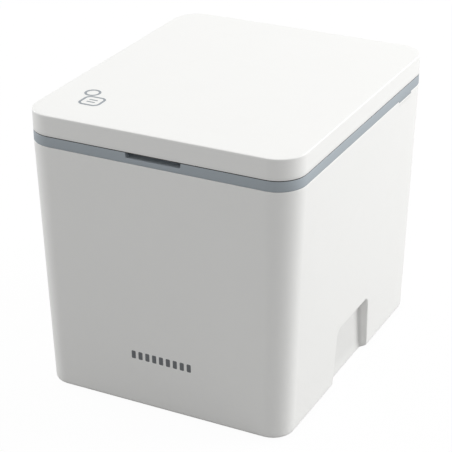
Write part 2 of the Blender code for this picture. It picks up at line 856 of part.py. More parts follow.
def chute_shape(name, outset, top, bottom, helpers):
    """The rear opening, a slightly narrowing oval: its space, or with an outset its outside."""
    half_x, half_y = bowl_half_x + outset, chute_length / 2 + outset
    upper = oval_ring(half_x, half_y, top, chute_middle)
    lower = oval_ring(half_x - chute_narrowing, half_y - chute_narrowing, bottom, chute_middle)
    return loft(name, [upper, lower], helpers)


def make_separator(parts, helpers, surface, axis):
    """A lift-out insert: a flange in the seat's rebate, a bowl with a spout in front and a chute behind."""
    low = rebate_z + touching_gap
    edge = rebate_width - running_gap
    separator = loft("separator", [opening_ring(edge, low), opening_ring(edge, plate_top_z)], parts)
    middle, above = (low + plate_top_z) / 2, plate_top_z + wall
    spout_end = plate_top_z - funnel_depth - spout_length
    chute_end = plate_top_z - chute_depth
    join(separator, funnel_shape("funnel_outside", separator_wall, middle, spout_end, helpers))
    join(separator, chute_shape("chute_outside", separator_wall, middle, chute_end, helpers))
    cut(separator, funnel_shape("funnel_space", 0, above, spout_end - wall, helpers))
    cut(separator, chute_shape("chute_space", 0, above, chute_end - wall, helpers))
    return finish(separator, surface, axis)


# ---- Lid


def make_lid(parts, helpers, surface, axis):
    """The cover: a flat top with a deep skirt, a ledge inside for its seal, ribs and knuckles."""
    ledge = wall + seal_width
    ledge_low = lid_z + seal_height
    profile = [
        (wall, top_z - wall),
        (wall, ledge_low + wall),
        (ledge, ledge_low + wall),
        (ledge, ledge_low),
        (wall, ledge_low),
        (wall, lid_z),
        (0, lid_z),
    ]
    profile += quarter_turn(edge_fillet, top_z - edge_fillet, edge_fillet, 180, 90)
    lid = loft("lid", housing_rings(profile), parts)
    half_x, half_y, _ = housing_size(wall / 2, lid_z)
    low, high = top_z - wall - lid_rib_height, top_z - wall / 2
    for share in (-lid_rib_share, lid_rib_share):
        x, y = share * body_width, centre_y + share * body_depth
        thick = rib_thickness / 2
        ends_y = (centre_y - half_y, centre_y + half_y)
        join(lid, box("rib", (x - thick, ends_y[0], low), (x + thick, ends_y[1], high), helpers))
        join(lid, box("rib", (-half_x, y - thick, low), (half_x, y + thick, high), helpers))
    centre, _ = hinge_spans(lid_hinge_station, lid_centre_knuckle)
    add_knuckles(lid, [centre], lid_axis_z, 1, helpers)
    return finish(lid, surface, axis)


def make_lid_seal(parts, surface, axis):
    """The soft ring under the lid's ledge, which closes on the seat frame's deck."""
    low, high = deck_z + touching_gap, lid_z + seal_height - touching_gap
    outer, inner = wall + touching_gap, wall + seal_width - touching_gap
    profile = [(outer, low), (inner, low), (inner, high), (outer, high)]
    return finish(loft("lid_seal", housing_rings(profile), parts, closed=True), surface, axis)


# ---- The whole object


def clear_scene():
    for obj in list(bpy.data.objects):
        bpy.data.objects.remove(obj)


def new_collection(name):
    made = bpy.data.collections.new(name)
    bpy.context.scene.collection.children.link(made)
    return made


def main():
    clear_scene()
    parts, helpers = new_collection("separating_toilet"), new_collection("cutters")
    white = material("white_shell", (0.86, 0.86, 0.85), 0.45)
    grey = material("grey_frame", (0.34, 0.38, 0.41), 0.5)
    tank = material("milky_tank", (0.82, 0.83, 0.8), 0.4)
    dark = material("dark_bucket", (0.16, 0.17, 0.18), 0.5)
    rubber = material("soft_seal", (0.08, 0.08, 0.085), 0.8)
    steel = material("steel", (0.6, 0.6, 0.61), 0.3, 1.0)

    seat_axis = axis_empty("seat_hinge_axis", (0, hinge_y, seat_axis_z), parts)
    lid_axis = axis_empty("lid_hinge_axis", (0, hinge_y, lid_axis_z), parts)
    cap_axis = axis_empty("cap_axis", (0, spout_y, mouth_z), parts)

    make_housing(parts, helpers, white)
    make_feet(parts, rubber)
    make_frame_seal(parts, rubber)
    for pin in make_pins("seat_hinge_pin", seat_hinge_station, centre_knuckle, seat_axis_z, parts):
        finish(pin, steel)
    make_canister(parts, helpers, tank)
    make_cap(parts, grey, rubber, cap_axis)
    make_bucket(parts, helpers, dark)
    make_bail(parts, steel)
    make_bag_ring(parts, grey)
    make_seat_frame(parts, helpers, grey, seat_axis)
    make_seat(parts, helpers, white, seat_axis)
    make_screws(parts, steel, seat_axis)
    make_separator(parts, helpers, grey, seat_axis)
    for pin in make_pins("lid_hinge_pin", lid_hinge_station, lid_centre_knuckle, lid_axis_z, parts):
        finish(pin, steel, seat_axis)
    make_lid(parts, helpers, white, lid_axis)
    make_lid_seal(parts, rubber, lid_axis)


main()
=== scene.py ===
import json
import math

import bmesh
import bpy
import numpy as np
from mathutils import Matrix, Vector


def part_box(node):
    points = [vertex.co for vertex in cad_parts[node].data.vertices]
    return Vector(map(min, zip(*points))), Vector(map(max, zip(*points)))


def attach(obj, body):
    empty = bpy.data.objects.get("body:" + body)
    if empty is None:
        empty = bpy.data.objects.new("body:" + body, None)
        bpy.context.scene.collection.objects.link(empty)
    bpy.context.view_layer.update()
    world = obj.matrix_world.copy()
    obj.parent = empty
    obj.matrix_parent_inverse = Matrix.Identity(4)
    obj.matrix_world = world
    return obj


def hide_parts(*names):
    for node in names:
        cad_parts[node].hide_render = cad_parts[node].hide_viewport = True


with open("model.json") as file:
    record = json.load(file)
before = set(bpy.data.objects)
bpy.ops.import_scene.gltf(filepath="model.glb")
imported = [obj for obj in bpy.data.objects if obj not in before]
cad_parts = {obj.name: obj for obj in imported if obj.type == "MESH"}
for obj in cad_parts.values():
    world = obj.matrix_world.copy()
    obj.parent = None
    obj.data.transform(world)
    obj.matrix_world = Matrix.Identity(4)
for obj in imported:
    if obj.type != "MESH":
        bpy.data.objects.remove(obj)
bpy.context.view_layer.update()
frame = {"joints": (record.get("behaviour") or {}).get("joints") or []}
mm = 0.001


def sized(**sizes):
    # sizes typed in millimetres, kept in metres
    return {name: size * mm for name, size in sizes.items()}


joints = {joint["name"]: joint for joint in frame["joints"]}
print("frame loaded")

# the outer form that every shell follows
form = sized(
    hingeStandOff=5,  # from the back face to the hinge axes
    sideDraft=11,  # how far the foot is drawn in, each side
    endDraft=6,
    topCorner=34,
    footCorner=27,
    wall=3,
    bandTall=12.2,
    gap=0.3,
    lidSeam=1)
cornerSteps = 14
sameSpot = 0.005 * mm  # points closer than this are one
hingeY = joints["lid_hinge"]["pos_m"][1]
seatAxisZ, lidAxisZ = joints["seat_hinge"]["pos_m"][2], joints["lid_hinge"]["pos_m"][2]
capX, capY = joints["cap_turn"]["pos_m"][:2]
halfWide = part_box("lid")[1].x
frontY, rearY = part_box("lid")[0].y, hingeY - form["hingeStandOff"]
halfDeep, midY = (rearY - frontY) / 2, (rearY + frontY) / 2
baseZ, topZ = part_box("housing")[0].z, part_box("lid")[1].z
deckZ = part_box("seat")[0].z - form["gap"]
bandZ = deckZ - form["bandTall"]
rimZ, lidZ = bandZ - form["gap"], deckZ + form["lidSeam"]
wall = form["wall"]


# mesh work

def smoothStep(low, high, value):
    share = np.clip((np.asarray(value, float) - low) / (high - low), 0, 1)
    return share * share * (3 - 2 * share)


def arc(inset, z, radius, start, end, steps=5):
    turns = [math.radians(start + (end - start) * k / steps) for k in range(steps + 1)]
    return [(inset + radius * math.cos(t), z + radius * math.sin(t)) for t in turns]


def makeTrack(sides=(), front=(), steps=cornerSteps, rear=()):
    # stations round a rounded box, anticlockwise from the front right corner
    track = []
    runs = ([("side", 1, t) for t in sides], [("end", 1, t) for t in reversed(rear)],
            [("side", -1, t) for t in reversed(sides)], [("end", -1, t) for t in front])
    for quarter, (sx, sy) in enumerate(((1, -1), (1, 1), (-1, 1), (-1, -1))):
        for k in range(steps + 1):
            track.append(("corner", sx, sy, math.radians(90 * (quarter - 1 + k / steps))))
        track += runs[quarter]
    return track


def offsets(inset, z, *steps):
    # places in a profile, given in millimetres from one inset and height
    return [(inset + across * mm, z + up * mm) for across, up in steps]


def evenStations(half, count):
    return [half * (2 * k / (count - 1) - 1) for k in range(count)]


def boxRing(track, halfX, halfY, corner, z, y=None):
    y = midY if y is None else y
    corner = max(corner, 0.3 * mm)
    points = []
    for station in track:
        if station[0] == "corner":
            _, sx, sy, turn = station
            points.append((sx * (halfX - corner) + corner * math.cos(turn),
                           y + sy * (halfY - corner) + corner * math.sin(turn), z))
        elif station[0] == "side":
            points.append((station[1] * halfX, y + station[2], z))
        else:
            points.append((station[2], y + station[1] * halfY, z))
    return np.array(points)


def formSize(inset, z):
    narrow = 1 - min(max((z - baseZ) / (rimZ - baseZ), 0), 1)
    corner = form["topCorner"] - narrow * (form["topCorner"] - form["footCorner"])
    return (halfWide - form["sideDraft"] * narrow - inset,
            halfDeep - form["endDraft"] * narrow - inset, corner - inset)


def formRing(track, inset, z):
    return boxRing(track, *formSize(inset, z), z)


def formRings(track, profile):
    return [formRing(track, inset, z) for inset, z in profile]


def ovalReach(turn, halfX, halfY, fullness):
    # from the middle of a superellipse to its edge; fullness 2 is an ellipse
    across, along = np.abs(np.cos(turn) / halfX), np.abs(np.sin(turn) / halfY)
    return (across ** fullness + along ** fullness) ** (-1 / fullness)


def rayOval(ring, halfX, halfY, z, y, fullness=2.0):
    # the oval's point in the direction of each point of another ring
    turn = np.arctan2(ring[:, 1] - y, ring[:, 0])
    reach = ovalReach(turn, halfX, halfY, fullness)
    return np.column_stack((reach * np.cos(turn), y + reach * np.sin(turn), np.full(len(ring), z)))


def hoops(profile, count, x=0.0, y=0.0):
    # one circle for each radius and height
    turn = 2 * math.pi * np.arange(count) / count
    return [np.column_stack((x + radius * np.cos(turn), y + radius * np.sin(turn), np.full(count, z)))
            for radius, z in profile]


def discProfile(core, radius, low, high, soft):
    return [(core, low), (radius - soft, low), (radius, low + soft),
            (radius, high - soft), (radius - soft, high), (core, high)]


def blend(first, last, share, z):
    # a ring part of the way from one to another, at its own height
    ring = first + share * (last - first)
    ring[:, 2] = z
    return ring


def halves(box):
    # half the width, half the depth, and where the middle is from front to back
    low, high = box
    return (high.x - low.x) / 2, (high.y - low.y) / 2, (high.y + low.y) / 2


def middles(nodes):
    # the middle of each node's CAD box, on the floor
    boxes = [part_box(node) for node in nodes]
    return [((low.x + high.x) / 2, (low.y + high.y) / 2, 0) for low, high in boxes]


def stops(*edges, reach=(0.8 * mm, 0.25 * mm)):
    # stations close to each edge, so that a step there stays crisp
    return [edge + side * t for edge in edges for side, t in zip((-1, -1, 1, 1), (*reach, *reversed(reach)))]


def skin(name, rows, surface, loop=False, sharp=38):
    # a shell through rings of equally many points, outside first on the way up
    count = len(rows[0])
    points = np.concatenate([np.asarray(row, float) for row in rows])
    faces = []
    for k in range(len(rows) if loop else len(rows) - 1):
        low, high = k * count, (k + 1) % len(rows) * count
        faces += [(low + i, low + (i + 1) % count, high + (i + 1) % count, high + i) for i in range(count)]
    if not loop:
        faces += [tuple(reversed(range(count))), tuple(range(len(points) - count, len(points)))]
    mesh = bpy.data.meshes.new(name)
    mesh.from_pydata(points.tolist(), [], faces)
    return dressed(name, mesh, surface, sharp)


def placed(name, data):
    thing = bpy.data.objects.new(name, data)
    bpy.context.scene.collection.objects.link(thing)
    return thing


def dressed(name, mesh, surface, sharp=38):
    mesh.shade_smooth()
    mesh.set_sharp_from_angle(angle=math.radians(sharp))
    mesh.materials.clear()
    mesh.materials.append(surface)
    return placed(name, mesh)


def plainMesh(maker):
    # what modifiers and curves come to, as a mesh in world space
    bpy.context.view_layer.update()
    mesh = bpy.data.meshes.new_from_object(maker.evaluated_get(bpy.context.evaluated_depsgraph_get()))
    mesh.transform(maker.matrix_world)
    bpy.data.objects.remove(maker)
    return mesh


def oneMesh(name, makers, surface, sharp=38):
    # several closed shells as one piece
    build = bmesh.new()
    for maker in makers:
        build.from_mesh(maker.data)
        bpy.data.objects.remove(maker)
    mesh = bpy.data.meshes.new(name)
    build.to_mesh(mesh)
    build.free()
    return dressed(name, mesh, surface, sharp)


def mended(mesh, merge=0.0):
    # turns every face outward, after joining points that lie closer together than merge
    build = bmesh.new()
    build.from_mesh(mesh)
    if merge:
        bmesh.ops.remove_doubles(build, verts=build.verts, dist=merge)
    bmesh.ops.recalc_face_normals(build, faces=build.faces)
    build.to_mesh(mesh)
    build.free()
    return mesh


def tube(name, points, radius, surface):
    data = bpy.data.curves.new(name, "CURVE")
    data.dimensions = "3D"
    data.bevel_depth, data.bevel_resolution, data.use_fill_caps = radius, 4, True
    line = data.splines.new("POLY")
    line.points.add(len(points) - 1)
    for place, point in zip(line.points, points):
        place.co = (*point, 1)
    return dressed(name, mended(plainMesh(placed(name, data)), sameSpot), surface, 50)


def settle(piece, body, slot, *nodes):
    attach(piece, body)
    if nodes:
        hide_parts(*nodes)
    return piece


# node work: a socket that does sums, and one way to add any other node

class Signal:
    def __init__(self, tree, socket):
        self.tree, self.socket = tree, socket

    def sum(self, operation, *values):
        return addNode(self.tree, "Math", {"operation": operation}, dict(enumerate(values)))


for name, operation in (("add", "ADD"), ("sub", "SUBTRACT"), ("mul", "MULTIPLY")):
    setattr(Signal, f"__{name}__", lambda self, other, kind=operation: self.sum(kind, self, other))
    setattr(Signal, f"__r{name}__", lambda self, other, kind=operation: self.sum(kind, other, self))


def addNode(tree, kind, settings=None, values=None, output=0):
    # both kinds of tree have the shader's Math node
    family = "ShaderNode" if kind == "Math" or tree.type == "SHADER" else "GeometryNode"
    node = tree.nodes.new(family + kind)
    for name, value in (settings or {}).items():
        setattr(node, name, value)
    for name, value in (values or {}).items():
        if isinstance(value, Signal):
            tree.links.new(value.socket, node.inputs[name])
        else:
            node.inputs[name].default_value = value
    return Signal(tree, node.outputs[output])


def finish(name, colour, roughness, metallic=0.0):
    # a Principled surface, its tree, and the object's own coordinates
    surface = bpy.data.materials.new(name)
    surface.use_nodes = True
    tree = surface.node_tree
    shader = tree.nodes["Principled BSDF"]
    shader.inputs["Base Color"].default_value = (*colour, 1)
    shader.inputs["Roughness"].default_value = roughness
    shader.inputs["Metallic"].default_value = metallic
    place = addNode(tree, "TexCoord", output="Object")
    return surface, tree, shader, place


def noise(tree, place, scale, detail=3.0, roughness=0.5, warp=0.0):
    return addNode(tree, "TexNoise", values={
        "Vector": place, "Scale": scale, "Detail": detail, "Roughness": roughness, "Distortion": warp})


def ramp(signal, low, high, first=0.0, last=1.0):
    return addNode(signal.tree, "MapRange", {"interpolation_type": "SMOOTHSTEP"}, {
        "Value": signal, "From Min": low, "From Max": high, "To Min": first, "To Max": last})


def tint(tree, share, first, second):
    # output 2 is the Mix node's colour
    return addNode(tree, "Mix", {"data_type": "RGBA"}, {
        "Factor": share, 6: first if isinstance(first, Signal) else (*first, 1),
        7: second if isinstance(second, Signal) else (*second, 1)}, output=2)


def feed(tree, shader, colour=None, roughness=None, height=None, depth=0.05 * mm):
    if colour is not None:
        tree.links.new(colour.socket, shader.inputs["Base Color"])
    if roughness is not None:
        tree.links.new(roughness.socket, shader.inputs["Roughness"])
    if height is not None:
        bump = addNode(tree, "Bump", values={"Height": height, "Distance": depth, "Strength": 1.0})
        tree.links.new(bump.socket, shader.inputs["Normal"])


def mouldedPlastic(name, colour, worn, roughness, grainScale=1500, grainDepth=0.03 * mm):
    # spark-eroded grain, faint flow marks from moulding, hair scratches and a little dulling
    surface, tree, shader, place = finish(name, colour, roughness)
    grain = noise(tree, place, grainScale, 2.0, 0.6)
    flow = noise(tree, place, 9, 3.0, 0.55, 0.6)
    stretched = addNode(tree, "Mapping", values={"Vector": place, "Scale": (420, 14, 60)})
    scratch = ramp(noise(tree, stretched, 1.0, 2.0, 0.5), 0.67, 0.74)
    handled = ramp(noise(tree, place, 26, 4.0, 0.6), 0.5, 0.72)
    share = flow * 0.5 + handled * 0.18 + scratch * 0.1
    height = grain + scratch * -0.35 + flow * 0.25
    feed(tree, shader, tint(tree, share, colour, worn),
         roughness - 0.04 + grain * 0.05 + handled * 0.05 - scratch * 0.04, height, grainDepth)
    return surface


def satinWhite(name="satinWhite"):
    surface = mouldedPlastic(name, (0.9, 0.9, 0.885), (0.87, 0.87, 0.853), 0.42)
    surface.node_tree.nodes["Principled BSDF"].inputs["Specular IOR Level"].default_value = 0.4
    return surface


def housingWhitePaintedShade():
    # the same white, with painted shade: darker where the side recesses lie
    surface = satinWhite("housingWhitePaintedShade")
    tree = surface.node_tree
    shader = tree.nodes["Principled BSDF"]
    place = addNode(tree, "TexCoord", output="Object")
    split = tree.nodes.new("ShaderNodeSeparateXYZ")
    tree.links.new(place.socket, split.inputs[0])
    x, y, z = (Signal(tree, socket) for socket in split.outputs)
    footX = halfWide - form["sideDraft"]
    inside = ramp(x.sum("ABSOLUTE", x), footX - 4 * mm, footX - 8 * mm)
    low = ramp(z, baseZ + 82 * mm, baseZ + 79 * mm)
    near = ramp((y - midY).sum("ABSOLUTE", y - midY), 62 * mm, 58 * mm)
    # painted shade: the recessed panels low on each side are tinted darker than the rest of the shell
    recessPaintedShade = inside * low * near
    plain = Signal(tree, shader.inputs["Base Color"].links[0].from_socket)
    feed(tree, shader, tint(tree, recessPaintedShade, plain, (0.79, 0.79, 0.777)))
    return surface


def coolGrey():
    return mouldedPlastic("coolGrey", (0.385, 0.43, 0.466), (0.36, 0.40, 0.435), 0.45)


def milkyTank():
    # blown polyethylene: waxy, a little see-through, with a soft orange peel
    surface, tree, shader, place = finish("milkyTank", (0.8, 0.81, 0.775), 0.38)
    shader.inputs["Subsurface Weight"].default_value = 0.25
    shader.inputs["Subsurface Radius"].default_value = (0.006, 0.006, 0.005)
    peel = noise(tree, place, 130, 2.0, 0.5)
    cloud = noise(tree, place, 12, 3.0, 0.5)
    colour = tint(tree, cloud, (0.83, 0.84, 0.8), (0.76, 0.77, 0.73))
    feed(tree, shader, colour, 0.33 + peel * 0.12, peel, 0.15 * mm)
    return surface


def bucketGrey():
    return mouldedPlastic("bucketGrey", (0.17, 0.177, 0.188), (0.205, 0.212, 0.22), 0.46, 1100, 0.04 * mm)


def softRubber():
    surface, tree, shader, place = finish("softRubber", (0.035, 0.036, 0.038), 0.75)
    grain = noise(tree, place, 900, 3.0, 0.6)
    bloom = ramp(noise(tree, place, 40, 4.0, 0.6), 0.45, 0.75)
    feed(tree, shader, tint(tree, bloom * 0.5, (0.032, 0.033, 0.035), (0.075, 0.075, 0.074)),
         0.68 + bloom * 0.14, grain, 0.03 * mm)
    return surface


def drawnSteel():
    surface, tree, shader, place = finish("drawnSteel", (0.6, 0.6, 0.61), 0.3, 1.0)
    along = addNode(tree, "Mapping", values={"Vector": place, "Scale": (60, 1600, 1600)})
    lines = noise(tree, along, 1.0, 2.0, 0.6)
    cloud = noise(tree, place, 70, 3.0, 0.5)
    colour = tint(tree, cloud, (0.66, 0.66, 0.67), (0.52, 0.52, 0.53))
    feed(tree, shader, colour, 0.22 + lines * 0.16, lines, 0.01 * mm)
    return surface


def padPrint(name, colour, ink, broken):
    # thin, slightly broken where the grain below it stands up
    surface, tree, shader, place = finish(name, colour, 0.5)
    speckle = ramp(noise(tree, place, 1900, 2.0, 0.6), 0.6, 0.75)
    feed(tree, shader, tint(tree, speckle * 0.4, ink, broken), 0.45 + speckle * 0.1, speckle, 0.01 * mm)
    return surface


white, shellWhitePaintedShade = satinWhite(), housingWhitePaintedShade()
grey, milky, dark = coolGrey(), milkyTank(), bucketGrey()
rubber, steel = softRubber(), drawnSteel()
ink = padPrint("printInk", (0.17, 0.18, 0.19), (0.16, 0.17, 0.18), (0.4, 0.41, 0.41))
lightInk = padPrint("paleInk", (0.33, 0.36, 0.39), (0.31, 0.34, 0.37), (0.55, 0.57, 0.58))
print("finishes made")


# geometry nodes: trees with named inputs, used through a bare object

class Repeat:
    # builds a tree, runs it and hands back a plain mesh
    def __init__(self, name, sizes):
        self.name, self.sizes = name, sizes
        self.tree = bpy.data.node_groups.new(name, "GeometryNodeTree")
        self.tree.interface.new_socket("Geometry", in_out="OUTPUT", socket_type="NodeSocketGeometry")
        kinds = {int: "NodeSocketInt", float: "NodeSocketFloat", tuple: "NodeSocketVector",
                 bpy.types.Object: "NodeSocketObject", bpy.types.Material: "NodeSocketMaterial"}
        self.sockets = {}
        for label, value in sizes.items():
            kind = next(k for t, k in kinds.items() if isinstance(value, t))
            socket = self.tree.interface.new_socket(label, in_out="INPUT", socket_type=kind)
            self.sockets[label] = socket.identifier
        self.entry = self.tree.nodes.new("NodeGroupInput")

    def size(self, label):
        return Signal(self.tree, self.entry.outputs[label])

    def node(self, kind, settings=None, values=None, output=0):
        return addNode(self.tree, kind, settings, values, output)

    def made(self, geometry):
        solid = self.node("RealizeInstances", values={"Geometry": geometry})
        coated = self.node("SetMaterial", values={"Geometry": solid, "Material": self.size("Finish")})
        way = self.tree.nodes.new("NodeGroupOutput")
        self.tree.links.new(coated.socket, way.inputs[0])
        maker = placed(self.name, bpy.data.meshes.new(self.name))
        modifier = maker.modifiers.new(self.name, "NODES")
        modifier.node_group = self.tree
        for label, value in self.sizes.items():
            modifier[self.sockets[label]] = value
        return plainMesh(maker)


def copiesAt(name, prototype, places, surface, sharp=38):
    # one shape, repeated at every place
    points = bpy.data.meshes.new(name + "Places")
    points.from_pydata([tuple(p) for p in places], [], [])
    spots = placed(name + "Places", points)
    work = Repeat(name, {"Shape": prototype, "Places": spots, "Finish": surface})
    shape = work.node("ObjectInfo", values={"Object": work.size("Shape")}, output="Geometry")
    where = work.node("ObjectInfo", values={"Object": work.size("Places")}, output="Geometry")
    mesh = work.made(work.node("InstanceOnPoints", values={"Points": where, "Instance": shape}))
    for used in (prototype, spots):
        bpy.data.objects.remove(used)
    return dressed(name, mesh, surface, sharp)


def rowOfBars(name, surface, count, first, step, size, rounding, sharp=38):
    # rounded bars in a row: a curve rectangle with round corners, filled and given a thickness
    work = Repeat(name, {"Count": count, "First": first, "Step": step, "Wide": size[0], "Tall": size[1],
                         "Thick": size[2], "Rounding": rounding, "Finish": surface})
    line = work.node("MeshLine", {"mode": "OFFSET"}, {
        "Count": work.size("Count"), "Start Location": work.size("First"), "Offset": work.size("Step")})
    flat = work.node("CurvePrimitiveQuadrilateral", values={
        "Width": work.size("Wide"), "Height": work.size("Tall")})
    soft = work.node("FilletCurve", {"mode": "POLY"}, {
        "Curve": flat, "Radius": work.size("Rounding"), "Count": 6, "Limit Radius": True})
    face = work.node("FillCurve", {"mode": "NGONS"}, {"Curve": soft})
    thick = work.node("ExtrudeMesh", values={
        "Mesh": face, "Offset Scale": work.size("Thick"), "Individual": False})
    back = work.node("FlipFaces", values={"Mesh": face})
    solid = work.tree.nodes.new("GeometryNodeJoinGeometry")
    work.tree.links.new(thick.socket, solid.inputs[0])
    work.tree.links.new(back.socket, solid.inputs[0])
    whole = work.node("MergeByDistance", values={"Geometry": Signal(work.tree, solid.outputs[0]),
                                                        "Distance": sameSpot})
    mesh = work.made(work.node("InstanceOnPoints", values={"Points": line, "Instance": whole}))
    return dressed(name, mesh, surface, sharp)


# housing

grip = sized(
    halfAtFoot=55,
    halfAtTop=48.5,
    height=76,
    corner=11,
    slope=5.6,
    depthAtFoot=9.6,
    footDrop=1.6,  # the panel reaches lower than the rounded foot beside it
    footFlare=1.2,
    flareTall=9)
gripRounding = 0.95  # 0 is a crisp slope, 1 the softest
notch = sized(middle=125.5, half=20, drop=2.8)
tub = sized(
    footEdge=4,
    rimEdge=0.6,
    floor=3,
    floorEdge=4,
    ledgeWide=7,
    ledgeDrop=5,
    ledgeThick=3,
    footHole=4.3)
footNodes = ["foot_front_left", "foot_front_right", "foot_rear_left", "foot_rear_right"]


def gripSides():
    # stations along a side: close together where the recess slopes and where the rim is notched
    close = [41 + 0.9 * k for k in range(20)]
    half = [t * mm for t in [0, 14, 28, 38] + close + [62, 72, 88]]
    far = sorted(stops(notch["middle"] - notch["half"], notch["middle"] + notch["half"]) + [notch["middle"]])
    return [-t for t in reversed(half[1:])] + half + far


def gripDepth(y, z, grow=0.0):
    # how deep the recess is at a place on the side, 0 outside it
    high = baseZ + grip["height"] + grow
    share = np.clip((z - baseZ) / grip["height"], 0, 1)
    half = grip["halfAtFoot"] + share * (grip["halfAtTop"] - grip["halfAtFoot"]) + grow
    corner = grip["corner"] + grow
    over, up = np.abs(y) - (half - corner), z - (high - corner)
    outside = np.hypot(np.maximum(over, 0), np.maximum(up, 0)) + np.minimum(np.maximum(over, up), 0)
    way = np.clip((corner - outside) / grip["slope"], 0, 1)
    eased = way - gripRounding * np.sin(2 * math.pi * way) / (2 * math.pi)
    return eased * (formSize(0, z)[0] - (halfWide - form["sideDraft"] - grip["depthAtFoot"]))


def housingRing(track, inset, z, dropShare=0.0, grow=0.0):
    # the outer form at a height, with the side recesses pressed in and the rim notched
    ring = formRing(track, inset, z)
    narrow = 1 - grip["halfAtTop"] / grip["halfAtFoot"]
    for i, station in enumerate(track):
        if station[0] == "side":
            t = station[2]
            lean = narrow * min(max((z - baseZ) / grip["height"], 0), 1)
            lean *= 1 - float(smoothStep(60 * mm, 88 * mm, abs(t)))
            y = t * (1 - lean)
            ring[i, 1] = midY + y
            depth = float(gripDepth(y, z, grow))
            ring[i, 0] -= station[1] * depth
            if not grow and z < baseZ + grip["flareTall"]:  # no rounding at the foot of the recess
                share = min(depth / grip["depthAtFoot"], 1)
                flare = grip["footFlare"] * (1 - float(smoothStep(0, grip["flareTall"], z - baseZ)))
                ring[i, 0] += station[1] * share * (min(inset, tub["footEdge"]) + flare)
                below = max(baseZ + tub["footEdge"] - z, 0) / tub["footEdge"]
                ring[i, 2] -= share * below * grip["footDrop"]
            if dropShare:
                edge = abs(t - notch["middle"]) - notch["half"]
                share = 1 - float(smoothStep(-0.25 * mm, 0.25 * mm, edge))
                ring[i, 2] -= dropShare * notch["drop"] * share
    return ring


def makeHousing():
    track = makeTrack(gripSides(), evenStations(90 * mm, 5))
    edge, rim, floorZ = tub["footEdge"], tub["rimEdge"], baseZ + tub["floor"]

    def rings(profile, share=0.0, grow=0.0):
        return [housingRing(track, inset, z, share, grow) for inset, z in profile]

    close = [63 + 0.9 * k for k in range(18)]  # where the top of the recess slopes
    heights = [8, 16, 28, 40, 50, 57, 61] + close + [81, 88, 110, 150, 200, 250, 290, 308]
    rows = rings([(edge + 2 * mm, baseZ)] + arc(edge, baseZ + edge, edge, 270, 180, 8))
    rows += rings([(0, baseZ + h * mm) for h in heights] + [(0, rimZ - 4.5 * mm)])
    rows += rings([(0, rimZ - 1.5 * mm)] + arc(rim, rimZ - rim, rim, 180, 90, 3)
                  + [(wall - 0.4 * mm, rimZ), (wall, rimZ - 0.4 * mm)], 1)
    ledgeZ, ledge = rimZ - tub["ledgeDrop"], wall + tub["ledgeWide"]
    under = ledgeZ - tub["ledgeThick"]
    rows += rings(offsets(wall, ledgeZ, (0, 0.6), (0.6, 0)) + offsets(ledge, ledgeZ, (-0.4, 0), (0, -0.4))
                  + offsets(ledge, under, (0, 0.5), (-0.8, -0.8)) + [(wall, under - tub["ledgeWide"])])
    downward = [260, 180, 110] + [88 - 1.6 * k for k in range(16)] + [58, 40, 20]
    bend = tub["floorEdge"]
    rows += rings([(wall, baseZ + h * mm) for h in downward] + arc(wall + bend, floorZ + bend, bend, 180, 270)
                  + [(wall + bend + 2 * mm, floorZ)], 0, wall)
    shell = skin("housing_shell", rows, white)
    reach = 2 * mm  # how far the cutters pass the floor's faces
    span = [(tub["footHole"], baseZ - reach), (tub["footHole"], floorZ + reach)]
    holes = [skin("hole", hoops(span, 32, x, y), white) for x, y, _ in middles(footNodes)]
    for hole in holes:
        cut = shell.modifiers.new("footHole", "BOOLEAN")
        cut.operation, cut.solver, cut.object = "DIFFERENCE", "EXACT", hole
    mesh = plainMesh(shell)
    for hole in holes:
        bpy.data.objects.remove(hole)
    return dressed("housing_shell", mesh, shellWhitePaintedShade)


settle(makeHousing(), "housing", "white_shell", "housing")
print("housing made")

foot = sized(disc=12, stem=4, bulb=5.2)


def makeFeet():
    disc, stem, bulb = foot["disc"], foot["stem"], foot["bulb"]
    under, stemTop = baseZ - form["gap"], baseZ + tub["floor"] + form["gap"]
    profile = offsets(disc, 0, (-3, 0), (-0.6, 0), (-0.15, 0.35), (0, 1))
    profile += offsets(disc, under, (-0.3, -0.1), (-0.8, 0)) + [(stem, under), (stem, stemTop)]
    profile += offsets(bulb, stemTop, (-0.2, 0.5), (0, 1)) + offsets(stem, stemTop, (-0.6, 2.6), (-1.2, 3))
    return copiesAt("rubber_feet", skin("foot", hoops(profile, 40), rubber), middles(footNodes), rubber, 30)


settle(makeFeet(), "housing", "rubber", *footNodes)

rails = sized(tall=5, thick=3, long=160, fenceTall=15, fenceLong=210, sunk=0.2, rounding=1)
canisterBox, bucketBox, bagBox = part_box("canister_tank"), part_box("solids_bucket"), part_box("bag_ring")


def makeRails():
    # bars that stand on the floor: a pair under each container and a fence between them
    foot, tall = baseZ + tub["floor"] - rails["sunk"], rails["tall"] + rails["sunk"]
    made = []
    for (low, high), span in ((canisterBox, canisterBox), (bucketBox, bagBox)):
        deep = span[1].y - span[0].y
        first = (0.0, (low.y + high.y) / 2 - deep / 4, foot)
        made.append(rowOfBars("rail", white, 2, first, (0.0, deep / 2, 0.0),
                              (rails["long"], rails["thick"], tall), rails["rounding"]))
    fenceY = (canisterBox[1].y + bagBox[0].y) / 2
    made.append(rowOfBars("fence", white, 1, (0.0, fenceY, foot), (0.0, 0.0, 0.0),
                          (rails["fenceLong"], rails["thick"], rails["fenceTall"]), rails["rounding"]))
    return oneMesh("container_rails", made, white)


settle(makeRails(), "housing", "white_shell")


# hinges

hinge = sized(
    barrel=4.2,
    pin=2,
    armReach=7.5,
    armGap=1.1,
    armEmbed=1.2,
    edge=0.45,
    seatStation=121,
    lidStation=75,
    seatCentre=11,
    lidCentre=17,
    side=7,
    play=0.5)


